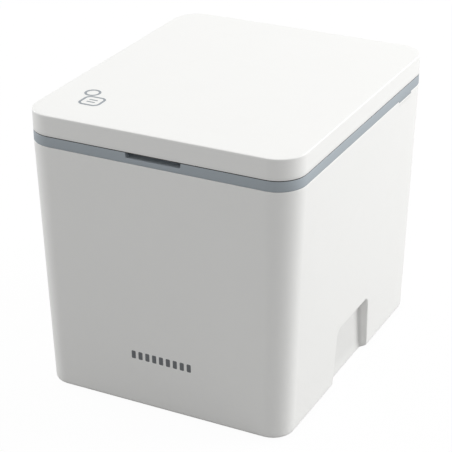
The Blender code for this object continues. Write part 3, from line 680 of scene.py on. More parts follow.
def knuckle(low, high, axisZ, side, surface):
    # a bored barrel with an arm that flares into the wall above (side 1) or below (side -1)
    r = hinge["barrel"]
    first = math.pi - math.asin(hinge["armGap"] / r)
    turns = [first + (math.radians(430) - first) * k / 24 for k in range(25)]
    outline = [(r * math.cos(turn), r * math.sin(turn)) for turn in turns]
    inner = -form["hingeStandOff"] - hinge["armEmbed"]
    start, goal = outline[-1], (inner, hinge["armReach"] + 1.4 * mm)
    for share in (k / 6 for k in range(1, 7)):  # the arm's back, hollowed where it meets the wall
        outline.append((start[0] + share * (goal[0] - start[0]),
                        start[1] + (goal[1] - start[1]) * share ** 1.5))
    outline.append((inner, hinge["armGap"]))
    outline = np.array(outline)
    turn = np.arctan2(outline[:, 1], outline[:, 0])
    bore = (hinge["pin"] + 0.3 * mm) * np.column_stack((np.cos(turn), np.sin(turn)))
    slim = outline - hinge["edge"] * outline / np.linalg.norm(outline, axis=1)[:, None]
    edge = hinge["edge"]
    rows = [np.column_stack((np.full(len(shape), x), hingeY + shape[:, 0], axisZ + side * shape[:, 1]))
            for shape, x in ((bore, low), (slim, low), (outline, low + edge), (outline, high - edge),
                             (slim, high), (bore, high))]
    piece = skin("knuckle", rows, surface, loop=True)
    mended(piece.data)
    return piece


def knuckleSet(name, spans, surface):
    # spans are (low x, high x, axis height, side) for the right; the left mirrors them
    made = []
    for low, high, axisZ, side in spans:
        made += [knuckle(low, high, axisZ, side, surface), knuckle(-high, -low, axisZ, side, surface)]
    return oneMesh(name, made, surface, 32)


def besideSpans(station, centre):
    inner, outer = station - centre / 2 - hinge["play"], station + centre / 2 + hinge["play"]
    return (inner - hinge["side"], inner), (outer, outer + hinge["side"])


def middleSpan(station, centre):
    return station - centre / 2, station + centre / 2


seatBeside, lidBeside = (besideSpans(hinge[k + "Station"], hinge[k + "Centre"]) for k in ("seat", "lid"))
seatMiddle, lidMiddle = (middleSpan(hinge[k + "Station"], hinge[k + "Centre"]) for k in ("seat", "lid"))
housingSpans = [(*span, seatAxisZ, -1) for span in seatBeside]
settle(knuckleSet("housing_knuckles", housingSpans, white), "housing", "white_shell")
frameSpans = [(*seatMiddle, seatAxisZ, 1)] + [(*span, lidAxisZ, -1) for span in lidBeside]
settle(knuckleSet("frame_knuckles", frameSpans, grey), "seat_frame", "grey_plastic")
settle(knuckleSet("lid_knuckles", [(*lidMiddle, lidAxisZ, 1)], white), "lid", "white_shell")


def makePins(name, nodes):
    # turned rods with a chamfered end, laid along X
    low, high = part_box(nodes[1])
    long, r = high.x - low.x, hinge["pin"]
    rod = skin(name, hoops(discProfile(0.3 * mm, r, 0.0, long, 0.5 * mm), 28), steel)
    rod.data.transform(Matrix.Rotation(math.pi / 2, 4, "Y"))
    places = [(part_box(node)[0].x, hingeY, (low.z + high.z) / 2) for node in nodes]
    return copiesAt(name, rod, places, steel)


for name, body in (("seat_hinge_pin", "housing"), ("lid_hinge_pin", "seat_frame")):
    pair = [name + "_left", name + "_right"]
    settle(makePins(name + "s", pair), body, "steel", *pair)
print("hinges made")


# seat frame

seatFrame = sized(
    edge=0.5,
    slotHalf=34.7,
    slotTall=6,
    slotDeep=12,
    tongueHalf=19.5,
    tongueDrop=2.3,
    deckThick=3,
    barWide=14,
    skirtIn=11,
    skirtDrop=14,
    holeOut=14)
opening = sized(halfX=110, halfY=140)
openingFullness = 2.6


def openingRing(ring, outset, z):
    return rayOval(ring, opening["halfX"] + outset, opening["halfY"] + outset, z, midY, openingFullness)


def makeSeatFrame():
    s, edge = seatFrame, seatFrame["edge"]
    marks = stops(notch["middle"] - s["tongueHalf"], notch["middle"] + s["tongueHalf"])
    slotEnds = stops(-s["slotHalf"], s["slotHalf"], reach=(1.2 * mm, 0.3 * mm))
    ends = evenStations(120 * mm, 27)
    plain = [t for t in evenStations(150 * mm, 31) if all(abs(t - m) > 3 * mm for m in marks)]
    plainEnds = [t for t in ends if all(abs(t - m) > 3 * mm for m in slotEnds)]
    track = makeTrack(sorted(marks + plain), sorted(slotEnds + plainEnds), 12, ends)
    sideways = np.array([1.0 if k[0] == "side" else 0.0 for k in track])
    along = np.array([k[2] if k[0] != "corner" else 1.0 for k in track])
    frontal = np.array([1.0 if k[:2] == ("end", -1) else 0.0 for k in track])
    past = np.abs(along - notch["middle"]) - s["tongueHalf"]
    tongue = sideways * (1 - smoothStep(-0.25 * mm, 0.25 * mm, past))
    slot = frontal * (1 - smoothStep(-0.3 * mm, 0.3 * mm, np.abs(along) - s["slotHalf"]))

    def row(inset, z, drop=0.0, slotInset=None, slotZ=None):
        ring = formRing(track, inset, z)
        ring[:, 2] -= drop * tongue
        if slotZ is not None:
            ring += slot[:, None] * (formRing(track, slotInset, slotZ) - ring)
        return ring

    slotZ, deep, drop = deckZ - s["slotTall"], s["slotDeep"], s["tongueDrop"]
    rows = [row(2.6 * mm, bandZ, drop), row(edge, bandZ, drop), row(edge * 0.3, bandZ + edge * 0.3, drop),
            row(0, bandZ + edge, drop), row(0, bandZ + 2 * mm)]
    rows += [row(i, z, 0, i, z - s["slotTall"]) for i, z in arc(edge, deckZ - edge, edge, 180, 90, 3)]
    rows += [row(i, deckZ, 0, slotIn, z) for i, slotIn, z in (
        (1.5 * mm, 1.5 * mm, slotZ), (deep - 1.6 * mm, deep - 1 * mm, slotZ),
        (deep - 1.2 * mm, deep - 0.3 * mm, slotZ + 0.3 * mm), (deep - 0.8 * mm, deep, slotZ + 1 * mm),
        (deep - 0.4 * mm, deep, deckZ - 0.4 * mm))] + [row(deep + 0.4 * mm, deckZ)]
    last, low, hole = rows[-1], deckZ - s["deckThick"], s["holeOut"]
    profile = offsets(hole, deckZ, (3, 0), (0.8, 0), (0.2, -0.2), (0, -0.8))
    profile += offsets(hole, low, (0, 0.5), (0.5, 0), (3, 0))
    rows += [openingRing(last, out, z) for out, z in profile]
    bar, skirt, foot = s["barWide"], s["skirtIn"], bandZ - s["skirtDrop"]
    profile = offsets(bar, low, (1, 0), (0, -1)) + offsets(bar, foot, (0, 0.6), (-0.6, 0))
    profile += offsets(skirt, foot, (0.6, 0), (0, 0.6)) + offsets(skirt, bandZ, (0, -0.5), (-0.5, 0), (-7, 0))
    rows += [row(i, z) for i, z in profile]
    return skin("seat_frame_ring", rows, grey, loop=True)


settle(makeSeatFrame(), "seat_frame", "grey_plastic", "seat_frame")
print("seat frame made")

# seat

seat = sized(inset=9, wall=3, edge=5, crown=2, tall=11.5, rebateWide=6.5, rebateDeep=2.8, soft=1.1)
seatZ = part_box("seat")[0].z
seatTop = seatZ + seat["tall"]
rebateZ = seatTop - seat["rebateDeep"]


def makeSeat():
    ends = evenStations(120 * mm, 31)
    track = makeTrack(evenStations(150 * mm, 37), ends, 10, ends)
    i, t, edge, crownZ = seat["inset"], seat["wall"], seat["edge"], seatTop + seat["crown"]
    rebate, soft, roofZ = seat["rebateWide"], seat["soft"], seatTop - seat["wall"]
    rows = formRings(track, offsets(i, seatZ, (0.3, 0), (0, 0.3))
                     + arc(i + edge, crownZ - edge, edge, 180, 90, 9))
    outer = rows[-1]
    lip = openingRing(outer, rebate, seatTop)
    for share in (k / 15 for k in range(1, 15)):  # the dish, from the rim down towards the opening
        rows.append(blend(outer, lip, share, crownZ - seat["crown"] * share * share * (3 - 2 * share) * 0.92))
    profile = arc(rebate + soft, seatTop - soft, soft, 90, 180, 4)
    profile += offsets(rebate, rebateZ, (0, 0.2), (-0.2, 0)) + offsets(0, rebateZ, (0.5, 0), (0, -0.5))
    profile += offsets(0, seatZ, (0, 0.6), (0.6, 0)) + offsets(t, seatZ, (-0.4, 0), (0, 0.4))
    profile += [(t, rebateZ - t), (rebate + t, rebateZ - t)]
    rows += [openingRing(outer, a, z) for a, z in profile]
    rim = formRing(track, i + t + edge / 2, roofZ)
    rows += [blend(rim, lip, share, roofZ) for share in (0.85, 0.1)]
    rows += formRings(track, [(i + t, roofZ - edge / 2)] + offsets(i + t, seatZ, (0, 0.3), (-0.3, 0)))
    return skin("seat_moulding", rows, white, loop=True)


settle(makeSeat(), "seat_frame", "white_shell", "seat")


screw = sized(radius=3.6, rim=1.4, crown=2.4, shank=1.6, crossCore=0.45, crossArm=1.25)


def makeScrews(nodes):
    # pan head below the deck, cross recess, plain shank
    count, r, shank, top = 48, screw["radius"], screw["shank"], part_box(nodes[0])[1].z
    headTop = deckZ - seatFrame["deckThick"] - form["gap"]
    bottom = headTop - screw["crown"]
    turn = 2 * math.pi * np.arange(count) / count
    arm = np.clip(np.cos(2 * turn) ** 2 * 1.6 - 0.75, 0, 0.85) / 0.85
    cross = screw["crossCore"] + screw["crossArm"] * arm
    rows = [np.column_stack((share * cross * np.cos(turn), share * cross * np.sin(turn), np.full(count, z)))
            for share, z in ((0.4, bottom + 1.2 * mm), (0.75, bottom + 1.1 * mm), (1.0, bottom + 0.05 * mm))]
    profile = offsets(0, bottom, (2, 0.02), (2.6, 0.15), (3.2, 0.5)) + [(r, headTop - screw["rim"])]
    profile += offsets(r, headTop, (0, -0.2), (-0.2, 0)) + [(shank, headTop)]
    rows += hoops(profile + offsets(shank, top, (0, -1), (-1, 0)), count)
    return copiesAt("seat_screws", skin("screw", rows, steel), middles(nodes), steel)


screwNodes = ["seat_screw_%d" % k for k in range(1, 7)]
settle(makeScrews(screwNodes), "seat_frame", "steel", *screwNodes)


def makeBosses(nodes):
    # hollow posts under the seat that take the screws
    outer, bore, top = 4.6 * mm, 1.9 * mm, seatTop - seat["wall"] + 0.4 * mm
    profile = offsets(bore, seatZ, (0.3, 0)) + offsets(outer, seatZ, (-0.3, 0), (0, 0.3))
    profile += offsets(outer, top, (0.3, -1), (1.2, 0)) + [(bore, top), (bore, seatZ + 0.3 * mm)]
    shape = skin("boss", hoops(profile, 36), white, loop=True)
    return copiesAt("seat_bosses", shape, middles(nodes), white)


settle(makeBosses(screwNodes), "seat_frame", "white_shell")

# separator

insert = sized(
    wall=2.5,
    plate=2.3,
    edgePlay=0.5,
    margin=15,
    bowlLong=102,
    bowlDeep=55,
    spout=14,
    spoutLong=24,
    divider=10,
    chuteNarrow=9,
    chuteDeep=57,
    roll=3.2)  # radius where the plate rolls into a bowl
plateTop = rebateZ + form["gap"] + insert["plate"]


def halfPlate(front, across=15, around=54):
    # one half of the plate as a closed ring, anticlockwise, the divider line first, and that line's length
    reachX, reachY = (opening[k] + seat["rebateWide"] - insert["edgePlay"] for k in ("halfX", "halfY"))
    full = openingFullness
    lineY = -opening["halfY"] + insert["margin"] + insert["bowlLong"] + insert["divider"] / 2
    edgeX = reachX * (1 - (abs(lineY) / reachY) ** full) ** (1 / full)
    line = [(edgeX * (1 - 2 * k / across), lineY) for k in range(across + 1)]
    right, left = math.atan2(lineY, edgeX), math.atan2(lineY, -edgeX) % (2 * math.pi)
    if front:  # from the left end, round the front, to the right end
        turns = np.linspace(left, right % (2 * math.pi), around + 1)[1:-1]
    else:
        turns = np.linspace(right, left, around + 1)[1:-1]
    reach = ovalReach(turns, reachX, reachY, full)
    ring = (line if front else line[::-1]) + list(zip(reach * np.cos(turns), reach * np.sin(turns)))
    return np.array([(x, midY + y, 0.0) for x, y in ring]), len(line)


def makeSeparator():
    thick, top, low, roll = insert["wall"], plateTop, plateTop - insert["plate"], insert["roll"]
    bowlX, bowlLong = opening["halfX"] - insert["margin"], insert["bowlLong"]
    chuteLong = 2 * (opening["halfY"] - insert["margin"]) - bowlLong - insert["divider"]
    points, faces = [], []
    for front in (True, False):
        flat, lineCount = halfPlate(front)
        onLine = np.arange(len(flat)) < lineCount
        halfY = (bowlLong if front else chuteLong) / 2
        holeY = midY + (-1 if front else 1) * (opening["halfY"] - insert["margin"] - halfY)

        def outer(outset, z):
            # the outer edge moves with the outset; the divider line stays put
            ring = flat.copy()
            away = ring[:, :2] - (0, midY)
            away /= np.linalg.norm(away, axis=1)[:, None]
            ring[:, :2] += (away * outset) * (1.0 - onLine)[:, None]
            ring[:, 2] = z
            return ring

        def hole(outset, z, share=0.0):
            if front:
                throat, shift = insert["spout"] - thick, share * (capY - holeY)
                return rayOval(flat + (0, shift, 0), bowlX + share * (throat - bowlX) + outset,
                               halfY + share * (throat - halfY) + outset, z, holeY + shift)
            grow = outset - share * insert["chuteNarrow"]
            return rayOval(flat, bowlX + grow, halfY + grow, z, holeY)

        if front:
            walls = [(s, (1 - (1 - s) ** 1.9) * insert["bowlDeep"]) for s in np.linspace(0.03, 1, 18)]
            tail = insert["bowlDeep"] + insert["spoutLong"]
        else:
            walls = [(s, insert["chuteDeep"] * s) for s in np.linspace(0.08, 0.96, 8)]
            tail = insert["chuteDeep"]
        rows = [outer(-0.5 * mm, low), outer(0, low + 0.5 * mm), outer(0, top - 0.6 * mm),
                outer(-0.2 * mm, top - 0.2 * mm), outer(-0.7 * mm, top)]
        rim = hole(roll, top)
        rows += [rows[-1] + share * (rim - rows[-1]) for share in (0.5, 0.97)]
        rows += [hole(a, z) for a, z in arc(roll, top - roll, roll, 90, 180, 5)]
        rows += [hole(0, top - max(fall, roll * 1.1), s) for s, fall in walls if fall > roll]
        rows += [hole(0.2 * mm, top - tail + 0.3 * mm, 1.0), hole(thick / 2, top - tail, 1.0),
                 hole(thick - 0.2 * mm, top - tail + 0.3 * mm, 1.0)]
        rows += [hole(thick, top - fall - thick * (1 if front else 0), s) for s, fall in reversed(walls)
                 if fall > roll + thick]
        rows += [hole(thick + 0.6 * mm, low - 0.9 * mm), hole(thick + 1.6 * mm, low)]
        first, count = len(points), len(flat)
        points += [tuple(point) for row in rows for point in row]
        for k in range(len(rows)):
            lower, upper = first + k * count, first + (k + 1) % len(rows) * count
            for i in range(count):
                if i < lineCount - 1 and k < 4:
                    continue  # no wall stands on the divider line
                j = (i + 1) % count
                faces.append((lower + i, lower + j, upper + j, upper + i))
    mesh = bpy.data.meshes.new("separator_insert")
    mesh.from_pydata(points, [], faces)
    return dressed("separator_insert", mended(mesh, 0.02 * mm), grey)


settle(makeSeparator(), "seat_frame", "grey_plastic", "separator")
print("seat and separator made")

# canister, cap and bucket

tank = sized(
    corner=26,
    footEdge=7,
    shoulder=206,
    shoulderEdge=16,
    neck=27,
    neckRise=10,  # from the shoulder to the foot of the neck
    mouth=28,
    thread=1.2,
    wall=2.5,
    ribDeep=1.6,
    handleX=90,
    handleSpan=62,
    handleY=-130.66,
    handleR=5.5)
ribHeights = (52, 78, 104, 130, 156)


def makeCanister():
    low, high = canisterBox
    halfX, halfY, y = halves(canisterBox)
    ends = evenStations(112 * mm, 33)
    track = makeTrack(evenStations(30 * mm, 7), ends, 8, ends)
    c, foot, edge, thick = (tank[k] for k in ("corner", "footEdge", "shoulderEdge", "wall"))
    top = low.z + tank["shoulder"]
    neck, neckZ = tank["neck"], top + tank["neckRise"]

    def body(inset, z, corner):
        return boxRing(track, halfX - inset, halfY - inset, corner, z, y)

    def circle(radius, z):
        return rayOval(rim, radius, radius, z, capY)

    def shoulder(share, drop=0.0):
        rise = neckFoot[:, 2] - rim[:, 2]
        return blend(rim, neckFoot, share, rim[:, 2] + share ** 1.3 * rise - drop)

    heel = [(foot + 4 * mm, low.z)] + arc(foot, low.z + foot, foot, 270, 180)
    rows = [body(i, z, c - i) for i, z in heel]
    for height in ribHeights:  # shallow grooves round the body stiffen it
        rows += [body(i * tank["ribDeep"], low.z + (height + dz) * mm, c) for i, dz in (
            (0, -5), (0, -3), (0.5, -1.8), (1, -0.6), (1, 0.6), (0.5, 1.8), (0, 3), (0, 5))]
    rows += [body(i, z, max(c - i, 8 * mm)) for i, z in arc(edge, top - edge, edge, 180, 100, 7)]
    rim = rows[-1]
    neckFoot = circle(neck + 6 * mm, neckZ - 1.5 * mm)
    rows += [shoulder(share) for share in (0.25, 0.5, 0.75, 1.0)]
    rows += [circle(neck + 2 * mm, neckZ), circle(neck + 0.4 * mm, neckZ + 1 * mm)]
    rows += [circle(neck - k % 2 * tank["thread"], neckZ + (2 + 2 * k) * mm) for k in range(8)]
    inner, mouthZ = neck - 3.5 * mm, neckZ + tank["mouth"] - 10 * mm
    rows += [circle(r, z) for r, z in (
        *offsets(neck, mouthZ, (-1.4, -0.6), (-2, 0)), *offsets(inner, mouthZ, (0.4, 0), (0, -0.4)),
        (inner, neckZ - 2 * mm))]
    rows += [shoulder(share, thick) for share in (0.9, 0.6, 0.3, 0.0)]
    rows += [body(i + thick, z, c - thick) for i, z in (
        (1 * mm, top - edge), (1.6 * mm, low.z + 100 * mm), (0.5 * mm, low.z + foot), (foot, low.z + thick))]
    return skin("canister_body", rows, milky, sharp=50)


settle(makeCanister(), "housing", "milky_tank", "canister_tank")


def makeHandle():
    foot, tall = canisterBox[0].z + tank["shoulder"] - 2 * mm, canisterBox[1].z - tank["handleR"]
    sweep = []
    for turn in np.linspace(0, math.pi, 33):
        across = math.copysign(abs(math.cos(turn)) ** 0.62, math.cos(turn))
        sweep.append((tank["handleX"] + tank["handleSpan"] / 2 * across, tank["handleY"],
                      foot + (tall - foot) * abs(math.sin(turn)) ** 0.55))
    return tube("canister_handle", sweep, tank["handleR"], milky)


settle(makeHandle(), "housing", "milky_tank")

cap = sized(ribWide=1.5, ribDeep=1.5, edge=2, thick=3, dish=0.8)
capRibs = 60


def makeCap():
    low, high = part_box("canister_cap")
    wide = (high.x - low.x) / 2
    r, inner, e, soft = wide - cap["ribDeep"] * 0.4, wide - 3.2 * mm, cap["edge"], 0.4 * mm
    dish, under = high.z - cap["dish"], high.z - cap["thick"]
    profile = [(inner + soft, low.z), (r - 0.6 * mm, low.z), (r, low.z + 0.6 * mm), (r, high.z - e)]
    profile += [(r - e + e * math.cos(t), high.z - e + e * math.sin(t)) for t in np.linspace(0.25, 1.57, 5)]
    profile += [(r - 7 * mm, high.z), (r - 8 * mm, dish), (6 * mm, dish), (1 * mm, dish), (1 * mm, under)]
    profile += offsets(inner, under, (-0.4, 0), (0, -0.4)) + [(inner, low.z + soft)]
    shell = skin("canister_cap_shell", hoops(profile, 72, capX, capY), dark, loop=True)
    work = Repeat("capGrip", {"Count": capRibs, "Radius": r, "Wide": cap["ribWide"], "Deep": cap["ribDeep"],
                              "Tall": high.z - low.z - 3.4 * mm, "Finish": dark,
                              "Middle": (capX, capY, (low.z + high.z) / 2 - 0.5 * mm)})
    around = work.node("MeshCircle", values={"Vertices": work.size("Count"), "Radius": work.size("Radius")})
    moved = work.node("Transform", values={"Geometry": around, "Translation": work.size("Middle")})
    rib = work.node("MeshCylinder", values={
        "Vertices": 12, "Radius": work.size("Wide") * 0.5, "Depth": work.size("Tall")})
    copies = work.node("InstanceOnPoints", values={"Points": moved, "Instance": rib})
    ribs = dressed("cap_ribs", work.made(copies), dark, 30)
    return oneMesh("canister_cap_screw", [shell, ribs], dark, 34)


settle(makeCap(), "cap", "dark_plastic", "canister_cap")


def makeLiner():
    low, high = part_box("cap_liner")
    profile = discProfile(3 * mm, (high.x - low.x) / 2, low.z, high.z, 0.3 * mm)
    return skin("cap_liner_disc", hoops(profile, 64, capX, capY), rubber)


settle(makeLiner(), "cap_liner", "rubber", "cap_liner")

pail = sized(corner=45, taper=16, wall=2.5, rimOut=6, rimDown=7, footEdge=8)
pailTrack = makeTrack(evenStations(40 * mm, 3), evenStations(50 * mm, 3), 14)


def makeBucket():
    low, high = bucketBox
    halfX, halfY, y = halves(bucketBox)
    c, t, out, foot, top = pail["corner"], pail["wall"], pail["rimOut"], pail["footEdge"], high.z
    lip = top - pail["rimDown"]
    profile = [(foot + 6 * mm, low.z)] + arc(foot, low.z + foot, foot, 270, 180, 6)
    profile += [(0, top - 60 * mm), (0, lip - 12 * mm)] + offsets(0, top - t, (0, -0.6), (-0.6, 0))
    profile += offsets(t - out, top - t, (-0.6, 0), (0, -0.6)) + offsets(t - out, lip, (0, 0.4), (-0.4, 0))
    profile += offsets(-out, lip, (0.4, 0), (0, 0.4)) + offsets(-out, top, (0, -1.2), (0.3, -0.4), (1.2, 0))
    profile += offsets(t, top, (-1, 0), (-0.2, -0.3), (0, -1), (0, -20)) + [(t, low.z + foot)]
    profile += arc(t + foot, low.z + t + foot, foot, 180, 265)
    rows = []
    for inset, z in profile:
        shrink = inset + pail["taper"] * (1 - (z - low.z) / (top - low.z))
        rows.append(boxRing(pailTrack, halfX - out - shrink, halfY - out - shrink, c - inset, z, y))
    return skin("bucket_moulding", rows, dark)


settle(makeBucket(), "housing", "dark_plastic", "solids_bucket")


def makeBagRing():
    low, high = bagBox
    halfX, halfY, y = halves(bagBox)
    inner = halfX - (halves(bucketBox)[0] - pail["rimOut"] - pail["wall"] - 1 * mm)
    thick, corner = 2 * mm, pail["corner"] + pail["rimOut"]
    lipZ = high.z - thick
    profile = offsets(0, low.z, (0.3, 0), (0, 0.4)) + offsets(0, high.z, (0, -1.2), (0.35, -0.35), (1.2, 0))
    profile += offsets(inner, high.z, (-0.8, 0), (0, -0.8)) + offsets(inner, lipZ, (0, 0.2), (-0.5, 0))
    profile += offsets(thick, lipZ, (0.4, 0), (0, -0.4)) + offsets(thick, low.z, (0, 0.4), (-0.3, 0))
    rows = [boxRing(pailTrack, halfX - i, halfY - i, corner - i, z, y) for i, z in profile]
    return skin("bag_clamp_ring", rows, grey, loop=True)


settle(makeBagRing(), "housing", "grey_plastic", "bag_ring")


bail = sized(corner=52, boss=4.9, eye=2.6)


def makeBail():
    low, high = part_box("bucket_bail")
    r, corner = (high.z - low.z) / 2, bail["corner"]
    x, back, z = (high.x - low.x) / 2 - r, high.y - r, (high.z + low.z) / 2
    path = [(-x, low.y + r, z), (-x, (low.y + back - corner) / 2, z)]
    path += [(-x + corner - corner * math.cos(t), back - corner + corner * math.sin(t), z)
             for t in np.linspace(0, math.pi / 2, 14)]
    path += [(-q[0], q[1], z) for q in reversed(path)]
    return tube("bail_wire", path, r, steel)


settle(makeBail(), "housing", "steel", "bucket_bail")


def makeBailBosses():
    # a round boss on each side of the bucket, where the bail hooks in
    low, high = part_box("bucket_bail")
    halfX, _, y = halves(bucketBox)
    inner, outer, boss, eye = halfX - pail["rimOut"] - 2 * mm, high.x - 5.2 * mm, bail["boss"], bail["eye"]
    profile = [(0.5 * mm, inner), (boss, inner)] + offsets(boss, outer, (-0.5, -0.5), (-1, 0))
    profile += offsets(eye, outer, (0, 0), (-0.1, -2)) + [(0.5 * mm, outer - 2.2 * mm)]
    made = []
    for hand in (-1, 1):
        piece = skin("bailBoss", hoops(profile, 32), dark)
        place = Matrix.Translation((0, y, (high.z + low.z) / 2))
        piece.data.transform(place @ Matrix.Rotation(hand * math.pi / 2, 4, "Y"))
        made.append(piece)
    return oneMesh("bail_bosses", made, dark)


settle(makeBailBosses(), "housing", "dark_plastic")
print("containers made")


# seals

lip = sized(inset=0.3, above=0.06, thick=0.75)


def makeSeal(name, node, body, wide, lipped):
    low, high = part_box(node)
    track = makeTrack(evenStations(120 * mm, 3), evenStations(90 * mm, 3))
    start, r = halfWide - high.x, wide * 0.22
    end = start + wide
    profile = arc(start + r, high.z - r, r, 180, 90, 3)
    if lipped:  # a thin lip that lies on the deck and closes the seam
        z, edge = deckZ + lip["above"], lip["inset"]
        profile = [(edge + 0.1 * mm, z), (edge, z + 0.15 * mm), (edge + 0.05 * mm, z + lip["thick"]),
                   (start - 0.1 * mm, z + lip["thick"] + 0.1 * mm), (start, z + 1.2 * mm)] + profile
    else:
        profile = arc(start + r, low.z + r, r, 270, 180, 3) + profile
    profile += arc(end - r, high.z - r, r, 90, 0, 3) + arc(end - r, low.z + r, r, 0, -90, 3)
    settle(skin(name, formRings(track, profile), rubber, loop=True), body, "rubber", node)


makeSeal("frame_seal_strip", "frame_seal", "housing", 5 * mm, False)
makeSeal("lid_seal_strip", "lid_seal", "lid", 4.4 * mm, True)

# lid

lid = sized(
    edge=1.2,
    ledgeWide=5,
    ledgeTall=4.8,
    ribThick=3,
    ribTall=5,
    ribX=112.9,
    ribY=132,
    foot=0.4,
    crown=0.5)


def makeLid():
    sides = [t * mm for t in (-140, -90, -45, 0, 45, 90, 140)]
    track = makeTrack(sides, evenStations(110 * mm, 5), 16)
    foot, edge, roof, crown = lid["foot"], lid["edge"], topZ - wall, lid["crown"]
    ledge, ledgeZ = wall + lid["ledgeWide"], lidZ + lid["ledgeTall"]
    profile = offsets(wall, roof, (37, 0), (2, 0), (0.6, -0.6), (0, -2)) + offsets(wall, ledgeZ, (0, 6.5))
    profile += offsets(ledge, ledgeZ, (-0.4, 3), (0, 2.6), (0, 0.4), (-0.4, 0))
    profile += offsets(wall, ledgeZ, (0.5, 0), (0, -0.5)) + offsets(wall, lidZ, (0, 0.3), (-0.3, 0))
    profile += [(foot, lidZ), (foot * 0.3, lidZ + foot * 0.3), (0, lidZ + foot), (0, lidZ + 4 * mm),
                (0, topZ - edge - 1.5 * mm)]
    rows = formRings(track, profile + arc(edge, topZ - edge - crown, edge, 180, 92, 9))
    brow = rows[-1]
    for share in (0.03, 0.1, 0.2, 0.35, 0.5, 0.7, 0.9):  # the top is very slightly crowned
        ring = brow * (1 - share, 1 - share, 1) + (0, midY * share, 0)
        ring[:, 2] = topZ - crown * (1 - share) ** 3
        rows.append(ring)
    return skin("lid_moulding", rows, white)


settle(makeLid(), "lid", "white_shell", "lid")


def makeLidRibs():
    # a frame of ribs below the roof, each grown into it a little
    tall, thick, x, y = lid["ribTall"] + 0.3 * mm, lid["ribThick"], lid["ribX"], lid["ribY"]
    base = topZ - wall - lid["ribTall"]
    reachX, reachY = halfWide - wall * 0.6, halfDeep - wall * 0.6
    along = rowOfBars("lidRibAlong", white, 2, (-x, midY, base), (2 * x, 0.0, 0.0),
                      (thick, 2 * reachY, tall), 0.4 * mm)
    across = rowOfBars("lidRibAcross", white, 2, (0.0, midY - y, base), (0.0, 2 * y, 0.0),
                       (2 * reachX, thick, tall), 0.4 * mm)
    return oneMesh("lid_ribs", [along, across], white)


settle(makeLidRibs(), "lid", "white_shell")
print("lid made")

# printed marks

frontMark = sized(
    pitch=9.2,
    wide=5.4,
    tall=10.4,
    rounding=1.2,
    middleX=1,
    height=70.5,
    proud=0.1,
    sunk=0.05)
frontBars = 9


def makeFrontMark():
    m = frontMark
    start = m["middleX"] - m["pitch"] * (frontBars - 1) / 2
    bars = rowOfBars("front_mark", ink, frontBars, (start, 0.0, 0.0), (m["pitch"], 0.0, 0.0),
                     (m["wide"], m["tall"], m["proud"] + m["sunk"]), m["rounding"], 30)
    lean = math.atan2(form["endDraft"], rimZ - baseZ)
    place = Vector((0, midY - formSize(0, m["height"])[1] + m["sunk"], m["height"]))
    bars.data.transform(Matrix.Translation(place) @ Matrix.Rotation(math.pi / 2 + lean, 4, "X"))
    return bars


settle(makeFrontMark(), "housing", "white_shell")

lidMark = sized(
    stroke=2.9,
    proud=0.1,
    sunk=0.05,
    ringX=-126,  # from the middle of the lid
    ringY=-115.5,
    ringRadius=8.5,
    panelX=-113,
    panelY=-138.5,
    panelWide=25,
    panelTall=24,
    rounding=6.5,
    barLong=11,
    barThick=2.2,
    barPitch=6.5,
    barRounding=1)
lidBars = 2


def outline(name, kind, values, place, rounding, surface):
    # a flat stroke that follows a closed curve
    sizes = {"Stroke": lidMark["stroke"], "Thick": lidMark["proud"] + lidMark["sunk"], "Rounding": rounding,
             "Place": place, "Finish": surface}
    work = Repeat(name, {**sizes, **values})
    line = work.node(kind, values={label: work.size(label) for label in values})
    if rounding:
        line = work.node("FilletCurve", {"mode": "POLY"}, {
            "Curve": line, "Radius": work.size("Rounding"), "Count": 10, "Limit Radius": True})
    section = work.node("CurvePrimitiveQuadrilateral", values={
        "Width": work.size("Stroke"), "Height": work.size("Thick")})
    ribbon = work.node("CurveToMesh", values={"Curve": line, "Profile Curve": section})
    moved = work.node("Transform", values={"Geometry": ribbon, "Translation": work.size("Place")})
    return dressed(name, work.made(moved), surface, 30)


def makeLidMark():
    m = lidMark
    z = topZ - lid["crown"] * 0.35 + m["proud"] / 2
    ring = outline("markRing", "CurvePrimitiveCircle", {"Resolution": 64, "Radius": m["ringRadius"]},
                   (m["ringX"], midY + m["ringY"], z), 0.0, lightInk)
    panelX, panelY = m["panelX"], midY + m["panelY"]
    panel = outline("markPanel", "CurvePrimitiveQuadrilateral",
                    {"Width": m["panelWide"], "Height": m["panelTall"]}, (panelX, panelY, z),
                    m["rounding"], lightInk)
    first = (panelX, panelY - m["barPitch"] * (lidBars - 1) / 2, z - m["proud"] / 2 - 0.03 * mm)
    bars = rowOfBars("markBars", lightInk, lidBars, first, (0.0, m["barPitch"], 0.0),
                     (m["barLong"], m["barThick"], m["proud"] + m["sunk"]), m["barRounding"], 30)
    return oneMesh("lid_mark", [ring, panel, bars], lightInk)


settle(makeLidMark(), "lid", "white_shell")
print("marks made")

# studio

studio = {
    "sky": 0.64,
    "keyPower": 171,
    "keySize": 3.3,
    "keyDistance": 4.5,
    "keyRise": 26,  # degrees above the floor, from the object's right
    "keyTurn": 38,  # degrees towards the back
    "fillPower": 130,
    "fillRise": 17,
    "fillTurn": 176,
    "floorWhite": 0.96,
    "floorShade": 0.36,
}
lens = {
    "length": 127.28,
    "turn": 27.0505,
    "rise": 25.9123,
    "roll": -0.4126,
    "distance": 2.06018,
    "over": -0.01165,
    "up": 0.14348,
}


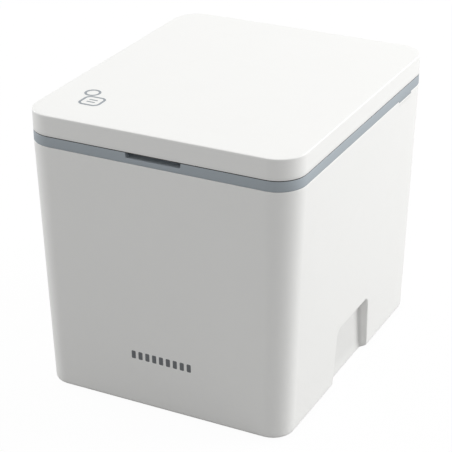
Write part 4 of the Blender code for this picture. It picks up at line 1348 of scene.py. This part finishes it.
def makeStudio():
    scene = bpy.context.scene
    scene.view_settings.view_transform = "Standard"
    world = bpy.data.worlds.new("studio")
    scene.world = world
    world.use_nodes = True
    world.node_tree.nodes["Background"].inputs["Color"].default_value = (1, 1, 1, 1)
    world.node_tree.nodes["Background"].inputs["Strength"].default_value = studio["sky"]
    for name in ("key", "fill"):
        data = bpy.data.lights.new(name, "AREA")
        data.size, data.energy = studio["keySize"], studio[name + "Power"]
        lamp = placed(name, data)
        rise, turn = math.radians(studio[name + "Rise"]), math.radians(studio[name + "Turn"])
        toward = Vector((math.cos(rise) * math.cos(turn), math.cos(rise) * math.sin(turn), math.sin(rise)))
        lamp.location = toward * studio["keyDistance"] + Vector((0, midY, 0.15))
        lamp.rotation_euler = toward.to_track_quat("Z", "Y").to_euler()

    floorMesh = bpy.data.meshes.new("floor")
    drop, reach = -0.1 * mm, 15  # just clear of the feet
    corners = [(x * reach, y * reach, drop) for x, y in ((-1, -1), (1, -1), (1, 1), (-1, 1))]
    floorMesh.from_pydata(corners, [], [(0, 1, 2, 3)])
    floor = placed("floor", floorMesh)
    surface = bpy.data.materials.new("paleFloor")
    surface.use_nodes = True
    tree = surface.node_tree
    tree.nodes.remove(tree.nodes["Principled BSDF"])
    seen = addNode(tree, "LightPath", output="Is Camera Ray")
    glow = addNode(tree, "Emission", values={"Strength": 1.0})
    matt = addNode(tree, "BsdfDiffuse", values={"Color": (0.9, 0.9, 0.9, 1)})
    shade = addNode(tree, "BsdfDiffuse", values={"Color": (*(studio["floorShade"],) * 3, 1)})
    shown = addNode(tree, "MixShader", values={0: studio["floorWhite"], 1: matt, 2: glow})
    both = addNode(tree, "MixShader", values={0: seen, 1: shade, 2: shown})
    tree.links.new(both.socket, tree.nodes["Material Output"].inputs["Surface"])
    floorMesh.materials.append(surface)


def makeCamera():
    turn, rise, roll = (math.radians(lens[k]) for k in ("turn", "rise", "roll"))
    back = Vector((math.sin(turn) * math.cos(rise), -math.cos(turn) * math.cos(rise), math.sin(rise)))
    right = Vector((math.cos(turn), math.sin(turn), 0))
    up = back.cross(right)
    across = right * math.cos(roll) + up * math.sin(roll)
    over = up * math.cos(roll) - right * math.sin(roll)
    data = bpy.data.cameras.new("camera")
    data.lens, data.sensor_width = lens["length"], 36
    camera = placed("camera", data)
    place = back * lens["distance"] + across * lens["over"] + over * lens["up"] + Vector((0, midY, baseZ))
    camera.matrix_world = Matrix.Translation(place) @ Matrix((across, over, back)).transposed().to_4x4()
    bpy.context.scene.camera = camera


makeStudio()
makeCamera()
